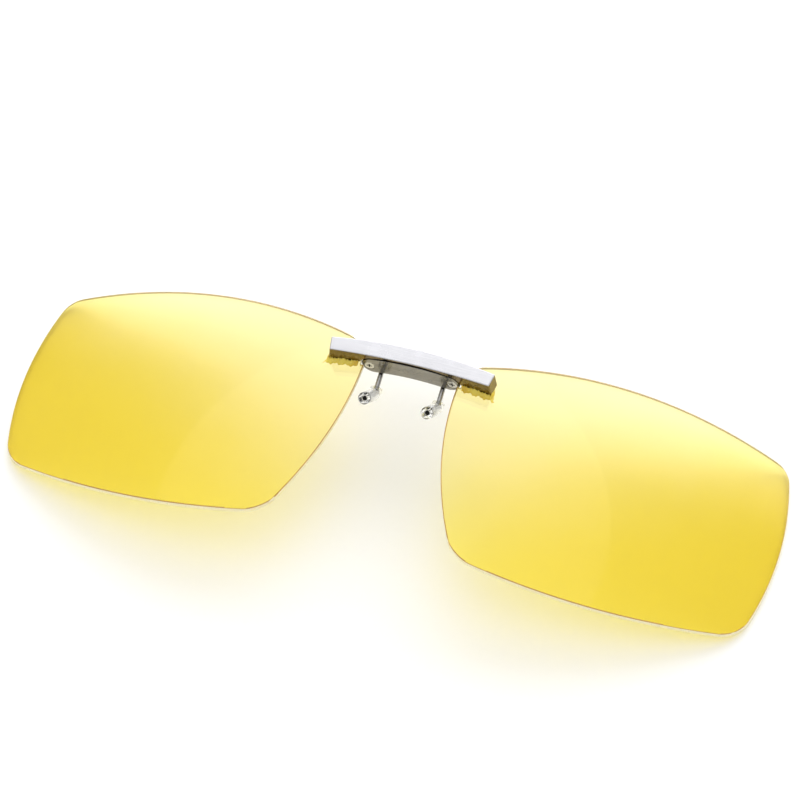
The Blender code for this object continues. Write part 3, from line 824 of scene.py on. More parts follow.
@dataclass(frozen=True)
class ClearRubber:
    """Clear silicone rubber, faintly cloudy and a little smudged.

    Attributes:
        name: the finish.
        slot: the record's material slot; not used here.
        clear: colour of the clear rubber.
        cloudy: colour in its cloudy streaks.
    """

    name: str
    slot: str
    clear: tuple[float, float, float]
    cloudy: tuple[float, float, float]

    def material(self) -> bpy.types.Material:
        """Build the finish.

        Returns:
            The material.
        """
        paint = Paint(self.name)
        cloud = paint.effect(Group.MOTTLE, Scale=9000.0)
        marks = paint.effect(Group.HANDLING, Scale=1200.0, Scratches=0.2)
        rough = paint.maths("ADD", 0.07, paint.maths("MULTIPLY", marks.outputs["Smudge"], 0.06))
        return paint.set(Base_Color=paint.blend(cloud.outputs["Cloud"], self.clear, self.cloudy),
                         Roughness=rough, Metallic=0.0, IOR=1.25, Transmission_Weight=1.0,
                         Normal=paint.bump(cloud.outputs["Height"], 1.0e-6))


@dataclass(frozen=True)
class Adhesive:
    """Amber adhesive with a wet shine, two ambers mixed in broad clouds; its deep amber bead beside
    the bar is partly glue and partly a painted shadow and reflection of the bar.

    Attributes:
        name: the finish.
        slot: the record's material slot; not used here.
        thin: the paler amber.
        thick: the deeper amber, partly a painted shadow and reflection of the bar.
    """

    name: str
    slot: str
    thin: tuple[float, float, float]
    thick: tuple[float, float, float]

    def material(self) -> bpy.types.Material:
        """Build the finish.

        Returns:
            The material.
        """
        paint = Paint(self.name)
        lumps = paint.effect(Group.MOTTLE, Scale=5200.0)
        marks = paint.effect(Group.HANDLING, Scale=1800.0, Scratches=0.0)
        rough = paint.maths("ADD", 0.16, paint.maths("MULTIPLY", marks.outputs["Smudge"], 0.12))
        return paint.set(Base_Color=paint.blend(lumps.outputs["Cloud"], self.thin, self.thick),
                         Roughness=rough, Metallic=0.0, IOR=1.5, Transmission_Weight=0.12,
                         Normal=paint.bump(lumps.outputs["Height"], 8.0e-6))


SATIN_ALLOY = Metal("satin_alloy", "satin_alloy", (0.60, 0.60, 0.62), (0.525, 0.523, 0.55), 0.24,
                    grain_depth=0.4e-6, smudges=0.06, wear=0.5)
# A darker, golden copy of the satin alloy for the bar's faces that don't face the front: painted
# shade with a painted reflection of the yellow lenses.
SHADED_ALLOY = Metal("painted_shade_alloy", "satin_alloy", (0.25, 0.19, 0.11), (0.17, 0.13, 0.07),
                   0.13, grain_depth=0.3e-6, smudges=0.05, wear=0.9)
PLATE_STEEL = Metal("plate_steel", "plate_steel", (0.34, 0.325, 0.295), (0.25, 0.235, 0.21), 0.2,
                    grain_depth=0.5e-6, scratches=0.1)
SCREW_STEEL = Metal("screw_steel", "screw_steel", (0.78, 0.76, 0.72), (0.55, 0.53, 0.5), 0.16,
                    grain_depth=0.3e-6, wear=1.0)
PIN_STEEL = Metal("pin_steel", "pin_steel", (0.64, 0.64, 0.65), (0.5, 0.5, 0.52), 0.2)
ROCKER_STEEL = Metal("rocker_steel", "rocker_steel", (0.62, 0.615, 0.62), (0.46, 0.46, 0.48), 0.34,
                     grain_depth=0.9e-6, smudges=0.14, wear=1.0)
HOOK_STEEL = Metal("hook_steel", "hook_steel", (0.44, 0.43, 0.41), (0.30, 0.295, 0.285), 0.13,
                   grain_depth=0.2e-6, smudges=0.05)
# Near black for gaps, recesses, the plate's rim and the wires' cut ends: painted shade.
SHADE_STEEL = Metal("cut_steel", "hook_steel", (0.030, 0.028, 0.026), (0.015, 0.014, 0.013), 0.5,
                  grain_depth=0.8e-6, wear=0.1)
SPRING_STEEL = Metal("spring_steel", "spring_steel", (0.52, 0.52, 0.54), (0.38, 0.38, 0.41), 0.24)
# The pale tint is a painted reflection; the deep tint is the lens's own yellow.
YELLOW_LENS = TintedLens("yellow_lens", "yellow_lens", (0.995, 0.90, 0.44), (1.0, 0.875, 0.13),
                         (0.62, 0.53, 0.20))
LENS_EDGE = GroundEdge("lens_edge", "yellow_lens", (1.0, 0.92, 0.60), (0.97, 0.85, 0.48))
LENS_CHAMFER = GroundEdge("lens_chamfer", "yellow_lens", (0.62, 0.36, 0.10), (0.42, 0.22, 0.05))
CLEAR_RUBBER = ClearRubber("clear_silicone", "clear_silicone", (0.985, 0.985, 0.975),
                           (0.93, 0.93, 0.91))
# The deep amber bead beside the bar is partly glue and partly a painted shadow and reflection of
# the bar.
AMBER_GLUE_AND_SHADE = Adhesive("amber_adhesive", "amber_adhesive", (0.95, 0.75, 0.09), (0.80, 0.52, 0.03))


# The pieces


def set_down(piece: bpy.types.Object, body: Body, node: str) -> None:
    """Put a finished piece on its body, in place of a CAD node.

    Args:
        piece: the finished object.
        body: what it rides on.
        node: the CAD node it stands for.
    """
    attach(piece, body.value)
    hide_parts(node)
    LOG.info("%s: %d faces, for %s on %s", piece.name, len(piece.data.polygons), node, body.value)


def dress(piece: bpy.types.Object, *materials: bpy.types.Material) -> None:
    """Give a piece its materials, in slot order.

    Args:
        piece: the finished object.
        *materials: one for each slot.
    """
    piece.data.materials.clear()
    for material in materials:
        piece.data.materials.append(material)


@lru_cache(maxsize=None)
def box_of(node: str) -> tuple[Vector, Vector]:
    """The lowest and highest corners of a CAD node, read once."""
    low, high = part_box(node)
    return low.freeze(), high.freeze()


def high_of(node: str) -> Vector:
    """The highest corner of a CAD node."""
    return box_of(node)[1]


@dataclass(frozen=True)
class Ball:
    """The sphere that the fronts of both lenses lie on."""

    radius: float = 180.0 * MM
    bar_standoff: float = 2.6 * MM

    @property
    def apex(self) -> float:
        """Height of the sphere's front."""
        return high_of("bridge_bar").z - self.bar_standoff

    def height(self, x: float, y: float, offset: float = 0.0) -> float:
        """Height over a place in X and Y, on a sphere that is larger by an offset."""
        reach = (self.radius + offset) ** 2 - x * x - y * y
        return self.apex - self.radius + sqrt(reach)


BALL = Ball()


class BowedSide:
    """One side of an outline: a straight run from corner to corner, bowed outwards."""

    def __init__(self, start: Vector, end: Vector, bow: float) -> None:
        """Set the run's ends and how far its middle stands out.

        Args:
            start: the side's first corner.
            end: the side's last corner.
            bow: how far the middle stands out.
        """
        self.start = start
        self.run = end - start
        self.bulge = Vector((-self.run.y, self.run.x)).normalized() * bow * 4.0

    def point(self, share: float) -> Vector:
        """The place a share of the way along."""
        return self.start + self.run * share + self.bulge * share * (1.0 - share)

    def slope(self, share: float) -> Vector:
        """The direction there, as long as the run."""
        return self.run + self.bulge * (1.0 - 2.0 * share)


@dataclass
class LensPair:
    """Both lenses, ground to one outline and polished.

    Attributes:
        thickness: of each lens.
        nose_top: upper nose corner from the middle of the pair.
        nose_bottom: lower nose corner from the middle.
        temple: upper temple corner from the middle.
        flare: lower temple corner beyond the upper one.
        nose_side: height of the side by the nose.
        temple_side: height of the temple side.
        temple_rise: temple corner above the nose corner.
        bows: how far brow, temple, cheek and nose sides stand out.
        corner_lengths: how much of the sides each corner takes up.
        corner_fullness: how far a corner's curve reaches into it.
        chamfer: width of the polished chamfers.
        notch_gap: from the lens to the housing and plate.
        rim_points: points round the outline.
        brow_spans: rim points along the brow.
        side_steps: points along a side of the outline's path.
        corner_steps: points round a corner of it.
        face_on: least share of a polished face that looks straight off the sphere.
        chamfer_rise: least upward share of a chamfer that faces the front.
    """

    thickness: float = 1.0 * MM
    nose_top: float = 8.7 * MM
    nose_bottom: float = 17.2 * MM
    temple: float = 66.8 * MM
    flare: float = 0.2 * MM
    nose_side: float = 36.6 * MM
    temple_side: float = 34.6 * MM
    temple_rise: float = 2.2 * MM
    bows: tuple[float, ...] = (4.6 * MM, 2.7 * MM, 3.2 * MM, 2.9 * MM)
    corner_lengths: tuple[float, ...] = (3.6 * MM, 2.4 * MM, 3.4 * MM, 3.4 * MM)
    corner_fullness: float = 0.56
    chamfer: float = 0.19 * MM
    notch_gap: float = 0.3 * MM
    rim_points: int = 280
    brow_spans: int = 84
    side_steps: int = 48
    corner_steps: int = 24
    face_on: float = 0.97
    chamfer_rise: float = 0.3

    def corners(self) -> list[Vector]:
        """Corners of the right-hand lens, clockwise from the upper nose corner.

        Returns:
            The points.
        """
        return [Vector((self.nose_top, 0.0)), Vector((self.temple, self.temple_rise)),
                Vector((self.temple + self.flare, self.temple_rise - self.temple_side)),
                Vector((self.nose_bottom, -self.nose_side))]

    def corner_curve(self, end: Vector, leaving: Vector, start: Vector,
                     arriving: Vector) -> list[Vector]:
        """The curve round a corner, from the end of one side to the start of the next.

        Args:
            end: end of the side before it.
            leaving: direction there.
            start: start of the side after it.
            arriving: direction there.

        Returns:
            The points.
        """
        turn = leaving.x * arriving.y - leaving.y * arriving.x
        gap = start - end
        before = (gap.x * arriving.y - gap.y * arriving.x) / turn
        after = (leaving.x * gap.y - leaving.y * gap.x) / turn
        return interpolate_bezier(end, end + leaving * before * self.corner_fullness,
                                  start - arriving * after * self.corner_fullness, start,
                                  self.corner_steps)

    def path(self) -> list[Vector]:
        """The whole outline, closely stepped, from the upper nose corner.

        Returns:
            The points.
        """
        corners = self.corners()
        count = len(corners)
        sides = [BowedSide(corners[i], corners[(i + 1) % count], self.bows[i])
                 for i in range(count)]
        points: list[Vector] = []
        for i, side in enumerate(sides):
            following = sides[(i + 1) % count]
            length = side.run.length
            low = self.corner_lengths[i] / length
            high = 1.0 - self.corner_lengths[(i + 1) % count] / length
            points += [side.point(low + (high - low) * k / self.side_steps)
                       for k in range(self.side_steps)]
            start = self.corner_lengths[(i + 1) % count] / following.run.length
            points += self.corner_curve(side.point(high), side.slope(high).normalized(),
                                        following.point(start),
                                        following.slope(start).normalized())[:-1]
        return [Vector((p.x, p.y)) for p in points]

    def outline(self) -> list[Vector]:
        """Evenly spaced rim points, centred on the lens's height.

        Returns:
            The points.
        """
        path = self.path()
        middle = (max(p.y for p in path) + min(p.y for p in path)) / 2.0
        closed = path + path[:1]
        lengths = [0.0]
        for first, second in zip(closed, closed[1:]):
            lengths.append(lengths[-1] + (second - first).length)
        rim: list[Vector] = []
        at = 0
        for i in range(self.rim_points):
            wanted = lengths[-1] * i / self.rim_points
            while lengths[at + 1] < wanted:
                at += 1
            share = (wanted - lengths[at]) / (lengths[at + 1] - lengths[at])
            rim.append(closed[at].lerp(closed[at + 1], share) - Vector((0.0, middle)))
        return rim

    def blank(self, name: str, side: Side) -> bpy.types.Object:
        """A curved blank with the outline's shape: a grid over it, given its thickness.

        Args:
            name: the new object's name.
            side: which half of the pair.

        Returns:
            The object.
        """
        Bench.clear()
        bpy.ops.mesh.primitive_circle_add(vertices=self.rim_points, radius=MM)
        lens = Bench.named(name)
        for vertex, place in zip(lens.data.vertices, self.outline()):
            vertex.co = (place.x * side.value, place.y, 0.0)
        with Bench.editing(lens, "VERT"):
            bpy.ops.mesh.select_all(action="SELECT")
            shape = bmesh.from_edit_mesh(lens.data)
            shape.verts.ensure_lookup_table()
            shape.select_history.add(shape.verts[0])
            bpy.ops.mesh.fill_grid(span=self.brow_spans)
            bpy.ops.mesh.select_all(action="SELECT")
            bpy.ops.mesh.extrude_region_move(
                TRANSFORM_OT_translate={"value": (0.0, 0.0, -self.thickness)})
        for vertex in lens.data.vertices:
            inner = -self.thickness if vertex.co.z < -self.thickness / 2.0 else 0.0
            vertex.co.z = BALL.height(vertex.co.x, vertex.co.y, inner)
        Bench.outward(lens)
        return lens

    def build(self, side: Side) -> bpy.types.Object:
        """Shape, chamfer, notch and dress one lens.

        Args:
            side: which half of the pair.

        Returns:
            The object.
        """
        node = f"lens_{side.label}"
        lens = self.blank(f"tinted_lens_{side.label}", side)
        Bench.soften(lens, self.chamfer, 3, CORNER, clamp=False)
        plate_low, plate_high = box_of("cover_plate")
        across = sorted((0.0, (plate_high.x + self.notch_gap) * side.value))
        Bench.cut(lens, Bench.block("notch", (across[0], plate_low.y - self.notch_gap, 0.0),
                                    (across[1], high_of(node).y + MM, high_of(node).z + MM)))
        Bench.smooth(lens)
        dress(lens, YELLOW_LENS.material(side), LENS_EDGE.material(), LENS_CHAMFER.material())
        centre = Vector((0.0, 0.0, BALL.apex - BALL.radius))
        for face in lens.data.polygons:
            facing = abs(face.normal.dot((face.center - centre).normalized()))
            chamfered = face.normal.z > self.chamfer_rise
            face.material_index = 0 if facing > self.face_on else 1 + int(chamfered)
        set_down(lens, Body.BRIDGE, node)
        return lens


@dataclass
class BondLine:
    """The adhesive between the bar and each lens, with the bead that squeezed out, whose amber also
    paints the bar's shadow and reflection on the lens.

    Attributes:
        gap: from the lens to the adhesive.
        thickness: of the layer under the bar.
        fillet: how high the bead stands against the bar.
        bead: how far it squeezes out below the bar.
        spread: how far beyond the bar's end and top.
        wave: how uneven its edge is.
        taper: how much shorter it is at the top.
        ripples: half waves along it.
        fine_ripples: smaller half waves over those.
        columns: cuts along it.
        rows: cuts across it.
    """

    gap: float = 0.05 * MM
    thickness: float = 0.3 * MM
    fillet: float = 0.95 * MM
    bead: float = 0.85 * MM
    spread: float = 0.3 * MM
    wave: float = 0.17 * MM
    taper: float = 0.7 * MM
    ripples: float = 7.0
    fine_ripples: float = 17.0
    columns: int = 70
    rows: int = 13

    def edge(self, share: float, phase: float) -> float:
        """How far the rim stands out of line at a share of the length.

        Args:
            share: of the length.
            phase: start of the waves.

        Returns:
            The distance in metres.
        """
        coarse = sin(self.ripples * pi * share + phase)
        fine = sin(self.fine_ripples * pi * share + 2.0 * phase + 1.0)
        return self.wave * (coarse + 0.55 * fine)

    def build(self, side: Side) -> bpy.types.Object:
        """Model one bond on its lens.

        Args:
            side: which half of the pair.

        Returns:
            The object.
        """
        node = f"lens_adhesive_{side.label}"
        low, high = box_of(node)
        bar_low, bar_high = box_of("bridge_bar")
        inner, outer = sorted((abs(low.x), abs(high.x)))
        bar = BridgeBar()
        phase = 0.4 if side is Side.LEFT else 2.3
        bond = Bench.block(f"adhesive_bond_{side.label}", (0.0, 0.0, 0.0), (1.0, 1.0, 1.0))
        with Bench.editing(bond, "EDGE"):
            Bench.pick(bond, "EDGE", lambda e: abs(e.verts[0].co.x - e.verts[1].co.x) > 0.5)
            bpy.ops.mesh.subdivide(number_cuts=self.columns)
            bpy.ops.mesh.select_all(action="DESELECT")
            Bench.pick(bond, "EDGE", lambda e: abs(e.verts[0].co.y - e.verts[1].co.y) > 0.5)
            bpy.ops.mesh.subdivide(number_cuts=self.rows)
        for vertex in bond.data.vertices:
            along, across, up = vertex.co
            reach = outer - self.taper * across
            x = inner + (reach - inner) * along + self.edge(across * 0.4, phase) * 0.4 * along
            under = bar.bottom(x)
            bottom = under - self.bead + self.edge(along, phase)
            top = bar.top(x) - self.spread
            y = bottom + (top - bottom) * across ** 1.6
            out = max((under - y) / (under - bottom), (x - bar.half_length(y)) / self.spread, 0.0)
            crown = self.gap + self.thickness
            if out > 0.0:
                crown += (self.fillet - self.thickness) * max(0.0, 1.0 - out) ** 2.2
            rim = min(max(0.0, out - 0.75) / 0.25, 1.0)
            crown -= self.thickness * 0.75 * rim * rim
            vertex.co = (x * side.value, y, BALL.height(x, y, crown if up > 0.5 else self.gap))
        Bench.outward(bond)
        Bench.soften(bond, 0.05 * MM, 2, RIM)
        Bench.smooth(bond, CORNER)
        # The bead's amber is partly glue and partly a painted shadow and reflection of the bar.
        dress(bond, AMBER_GLUE_AND_SHADE.material())
        set_down(bond, Body.BRIDGE, node)
        return bond


@dataclass
class BridgeBar:
    """The die-cast bar across the lenses, with the clip's housing and pocket behind it.

    Attributes:
        length: of the front face.
        height: at the middle.
        top_bow: how far the top's ends drop.
        bottom_bow: how far the bottom's ends drop.
        end_lean: how much shorter the bottom is at each end.
        end_draft: how much longer the back is at each end.
        draft_depth: depth over which the draft is measured.
        edge: radius of the long edges.
        bond_room: from the sphere to the bar's back.
        top_wall: over the pocket.
        front_wall: ahead of the springs.
        side_wall: between the pocket and the end of the housing.
        screw_boss: the same wall where the screws go in.
        hub_gap: round the rocker's hub; not used.
        window: from the pin to the edge of the top wall.
        seat_grow: round the cover plate.
        seat_gap: behind the cover plate.
        running_gap: round the pin.
        screw_bore: radius of the screw holes.
        front_rise: least upward share of a face with the satin finish; faces below it get painted
            shade.
        cuts: across the beam, to bow it.
    """

    length: float = 29.9 * MM
    height: float = 3.25 * MM
    top_bow: float = 1.35 * MM
    bottom_bow: float = 0.7 * MM
    end_lean: float = 0.4 * MM
    end_draft: float = 0.45 * MM
    draft_depth: float = 4.6 * MM
    edge: float = 0.2 * MM
    bond_room: float = 0.4 * MM
    top_wall: float = 0.6 * MM
    front_wall: float = 1.2 * MM
    side_wall: float = 2.1 * MM
    screw_boss: float = 3.0 * MM
    hub_gap: float = 0.25 * MM
    window: float = 0.85 * MM
    seat_grow: float = 0.33 * MM
    seat_gap: float = 0.05 * MM
    running_gap: float = 0.05 * MM
    screw_bore: float = 0.55 * MM
    front_rise: float = 0.3
    cuts: int = 47

    @property
    def top_y(self) -> float:
        """The top of the bar in the middle."""
        return high_of("bridge_bar").y

    def top(self, x: float) -> float:
        """The top's Y at a distance from the middle."""
        return self.top_y - self.top_bow * (2.0 * x / self.length) ** 2

    def bottom(self, x: float) -> float:
        """The underside's Y at a distance from the middle."""
        return self.top_y - self.height - self.bottom_bow * (2.0 * x / self.length) ** 2

    def half_length(self, y: float) -> float:
        """Half the bar's length near the lenses, at a height in Y."""
        share = (self.top_y - y) / (self.height + self.bottom_bow)
        return self.length / 2.0 + self.end_draft / 2.0 - self.end_lean * share

    def beam(self) -> bpy.types.Object:
        """The bowed beam, its back on the sphere and its edges rounded.

        Returns:
            The object.
        """
        front = high_of("bridge_bar").z
        half = self.length / 2.0
        beam = Bench.block("bridge_bar_cast", (-half, -1.0, -1.0), (half, 1.0, 1.0))
        with Bench.editing(beam, "EDGE"):
            Bench.pick(beam, "EDGE", lambda e: abs(e.verts[0].co.x - e.verts[1].co.x) > half)
            bpy.ops.mesh.subdivide(number_cuts=self.cuts)
        for vertex in beam.data.vertices:
            upper = vertex.co.y > 0.0
            fore = vertex.co.z > 0.0
            x = vertex.co.x * (1.0 if upper else 1.0 - self.end_lean / half)
            y = self.top(vertex.co.x) if upper else self.bottom(vertex.co.x)
            z = front
            if not fore:
                z = BALL.height(x, y, self.bond_room)
                x *= 1.0 + self.end_draft / half * (front - z) / self.draft_depth
            vertex.co = (x, y, z)
        Bench.outward(beam)
        return Bench.soften(beam, self.edge, 4, LONG_EDGE)

    def build(self) -> bpy.types.Object:
        """Join the housing to the beam and cut its pocket and holes.

        Returns:
            The object.
        """
        plate = CoverPlate()
        plate_low, plate_high = box_of("cover_plate")
        pin_low, pin_high = box_of("hinge_pin")
        pin = (pin_low + pin_high) / 2.0
        bar = self.beam()
        foot = self.top_y - self.height - self.bottom_bow
        housing = Bench.slab("housing", [Vector((x, foot, z)) for x, z in plate.outline()],
                             Vector((0.0, self.top_y - self.edge - foot, 0.0)))
        Bench.join(bar, Bench.soften(housing, 0.12 * MM, 3, RIM))
        below = foot - MM
        behind = plate_low.z - MM
        seat_top = plate_high.y + self.seat_gap
        pocket_half = plate_high.x - self.side_wall
        spring_half = plate_high.x - self.screw_boss
        pocket_top = self.top_y - self.top_wall
        hub_room = (pocket_top - plate_high.y) / 2.0
        Bench.cut(
            bar,
            Bench.slab("seat", [Vector((x, below, z)) for x, z in plate.outline(self.seat_grow)],
                       Vector((0.0, seat_top - below, 0.0))),
            Bench.block("window", (-pocket_half, below, behind),
                        (pocket_half, self.top_y + MM, pin.z + self.window)),
            Bench.block("hub_pocket", (-pocket_half, below, behind),
                        (pocket_half, pocket_top, pin.z + hub_room)),
            Bench.block("spring_pocket", (-spring_half, below, pin.z),
                        (spring_half, pocket_top, high_of("bridge_bar").z - self.front_wall)),
            Bench.rod("pin_hole", (pin_high.y - pin_low.y) / 2.0 + self.running_gap,
                      (-self.length, pin.y, pin.z), (self.length, pin.y, pin.z)))
        for side in Side:
            low, high = box_of(f"cover_screw_{side.label}")
            x, z = (low.x + high.x) / 2.0, (low.z + high.z) / 2.0
            Bench.cut(bar, Bench.rod("screw_hole", self.screw_bore, (x, below, z),
                                     (x, high.y + self.seat_gap, z), 48))
        Bench.smooth(bar)
        dress(bar, SATIN_ALLOY.material(), SHADED_ALLOY.material(), SHADE_STEEL.material())
        for face in bar.data.polygons:
            place = face.center
            # Faces in the plate's seat and the screw holes get near black: painted shade in the
            # gap.
            sunk = (abs(place.x) < plate_high.x + 1.2 * self.seat_grow
                    and place.z < plate_high.z + 1.2 * self.seat_grow
                    and self.bottom(place.x) + 0.02 * MM < place.y < seat_top + 0.02 * MM)
            # Faces that don't face the front get the darker copy: painted shade and painted lens
            # reflection.
            face.material_index = 2 if sunk else int(face.normal.z <= self.front_rise)
        set_down(bar, Body.BRIDGE, "bridge_bar")
        return bar


@dataclass
class CoverPlate:
    """The bowed plate under the housing, with a sunk screw at each end.

    Attributes:
        width: of the strip.
        bow: how far its ends drop.
        edge: radius of its outer edges.
        head_room: round and behind a screw head.
        head_radius: of the screw heads.
        head_height: of the screw heads.
        thread_radius: of the screws' shanks.
        rim: chamfer round a head.
        recess: length, width and depth of a slot of the cross.
        steps: points along each side.
    """

    width: float = 4.1 * MM
    bow: float = 0.66 * MM
    edge: float = 0.16 * MM
    head_room: float = 0.05 * MM
    head_radius: float = 1.0 * MM
    head_height: float = 0.35 * MM
    thread_radius: float = 0.5 * MM
    rim: float = 0.12 * MM
    recess: tuple[float, float, float] = (1.3 * MM, 0.3 * MM, 0.2 * MM)
    steps: int = 40

    def outline(self, grow: float = 0.0) -> list[tuple[float, float]]:
        """Outline in X and Z: a bowed strip of one width with round ends.

        Args:
            grow: how much wider than the plate.

        Returns:
            The points.
        """
        low, high = box_of("cover_plate")
        end_x = high.x - self.width / 2.0
        mid_z = high.z - self.width / 2.0
        half = self.width / 2.0 + grow
        front: list[tuple[float, float]] = []
        rear: list[tuple[float, float]] = []
        for i in range(self.steps + 1):
            share = i / self.steps * 2.0 - 1.0
            slope = Vector((end_x, -2.0 * self.bow * share)).normalized() * half
            x, z = end_x * share, mid_z - self.bow * share * share
            front.append((x - slope.y, z + slope.x))
            rear.append((x + slope.y, z - slope.x))
        lean = atan2(2.0 * self.bow, end_x)
        turns = [pi * i / self.steps for i in range(1, self.steps)]
        right = [(end_x + half * sin(a + lean), mid_z - self.bow + half * cos(a + lean))
                 for a in turns]
        left = [(-x, z) for x, z in reversed(right)]
        return front + right + rear[::-1] + left

    def build(self) -> bpy.types.Object:
        """Press the plate and sink its screw holes.

        Returns:
            The object.
        """
        low, high = box_of("cover_plate")
        plate = Bench.slab("cover_plate_pressed",
                           [Vector((x, low.y, z)) for x, z in self.outline()],
                           Vector((0.0, high.y - low.y, 0.0)))
        Bench.soften(plate, self.edge, 3, RIM)
        for side in Side:
            x, z = self.screw_place(side)
            sink = self.head_radius + self.head_room
            Bench.cut(
                plate,
                Bench.rod("head_sink", sink, (x, low.y - MM, z),
                          (x, low.y + self.head_height + self.head_room, z)),
                Bench.rod("shank_hole", self.thread_radius + 2.0 * self.head_room,
                          (x, low.y, z), (x, high.y + MM, z), 48))
        Bench.smooth(plate)
        dress(plate, PLATE_STEEL.material(), SHADE_STEEL.material())
        # The plate's rim gets near black: a painted shade line round the plate.
        for face in plate.data.polygons:
            face.material_index = int(face.normal.y > -0.88)
        set_down(plate, Body.BRIDGE, "cover_plate")
        return plate

    @staticmethod
    def screw_place(side: Side) -> tuple[float, float]:
        """A screw's place in X and Z."""
        low, high = box_of(f"cover_screw_{side.label}")
        return (low.x + high.x) / 2.0, (low.z + high.z) / 2.0

    def build_screw(self, side: Side) -> bpy.types.Object:
        """Turn one screw: a domed head with a cross recess on a pointed shank.

        Args:
            side: which half of the pair.

        Returns:
            The object.
        """
        node = f"cover_screw_{side.label}"
        low, high = box_of(node)
        x, z = self.screw_place(side)
        under = low.y + self.head_height
        screw = Bench.rod(f"cross_screw_{side.label}", self.head_radius, (x, low.y, z),
                          (x, under, z))
        Bench.soften(screw, self.rim, 4, CORNER)
        shank = Bench.rod("shank", self.thread_radius, (x, low.y + self.head_height / 2.0, z),
                          (x, high.y, z), 40)
        with Bench.editing(shank, "FACE"):
            Bench.pick(shank, "FACE", lambda f: f.normal.y > 0.9)
            bpy.ops.transform.resize(value=(0.45, 1.0, 0.45), center_override=(x, high.y, z))
        Bench.join(screw, shank)
        long_half, wide_half = self.recess[0] / 2.0, self.recess[1] / 2.0
        for across, up in ((long_half, wide_half), (wide_half, long_half)):
            slot = Bench.block("slot", (x - across, low.y - MM, z - up),
                               (x + across, low.y + self.recess[2], z + up))
            with Bench.editing(slot, "FACE"):
                Bench.pick(slot, "FACE", lambda f: f.normal.y > 0.9)
                bpy.ops.transform.resize(value=(0.72, 1.0, 0.72),
                                         center_override=(x, low.y + self.recess[2], z))
            Bench.cut(screw, slot)
        Bench.smooth(screw)
        dress(screw, SCREW_STEEL.material(), SHADE_STEEL.material())
        # The cross recess and the shank get near black: painted shade in the recess.
        for face in screw.data.polygons:
            off = Vector((face.center.x - x, face.center.z - z)).length
            sunk = face.center.y > low.y + 0.01 * MM and off < 1.05 * long_half
            face.material_index = int(sunk or face.center.y > under)
        set_down(screw, Body.BRIDGE, node)
        return screw


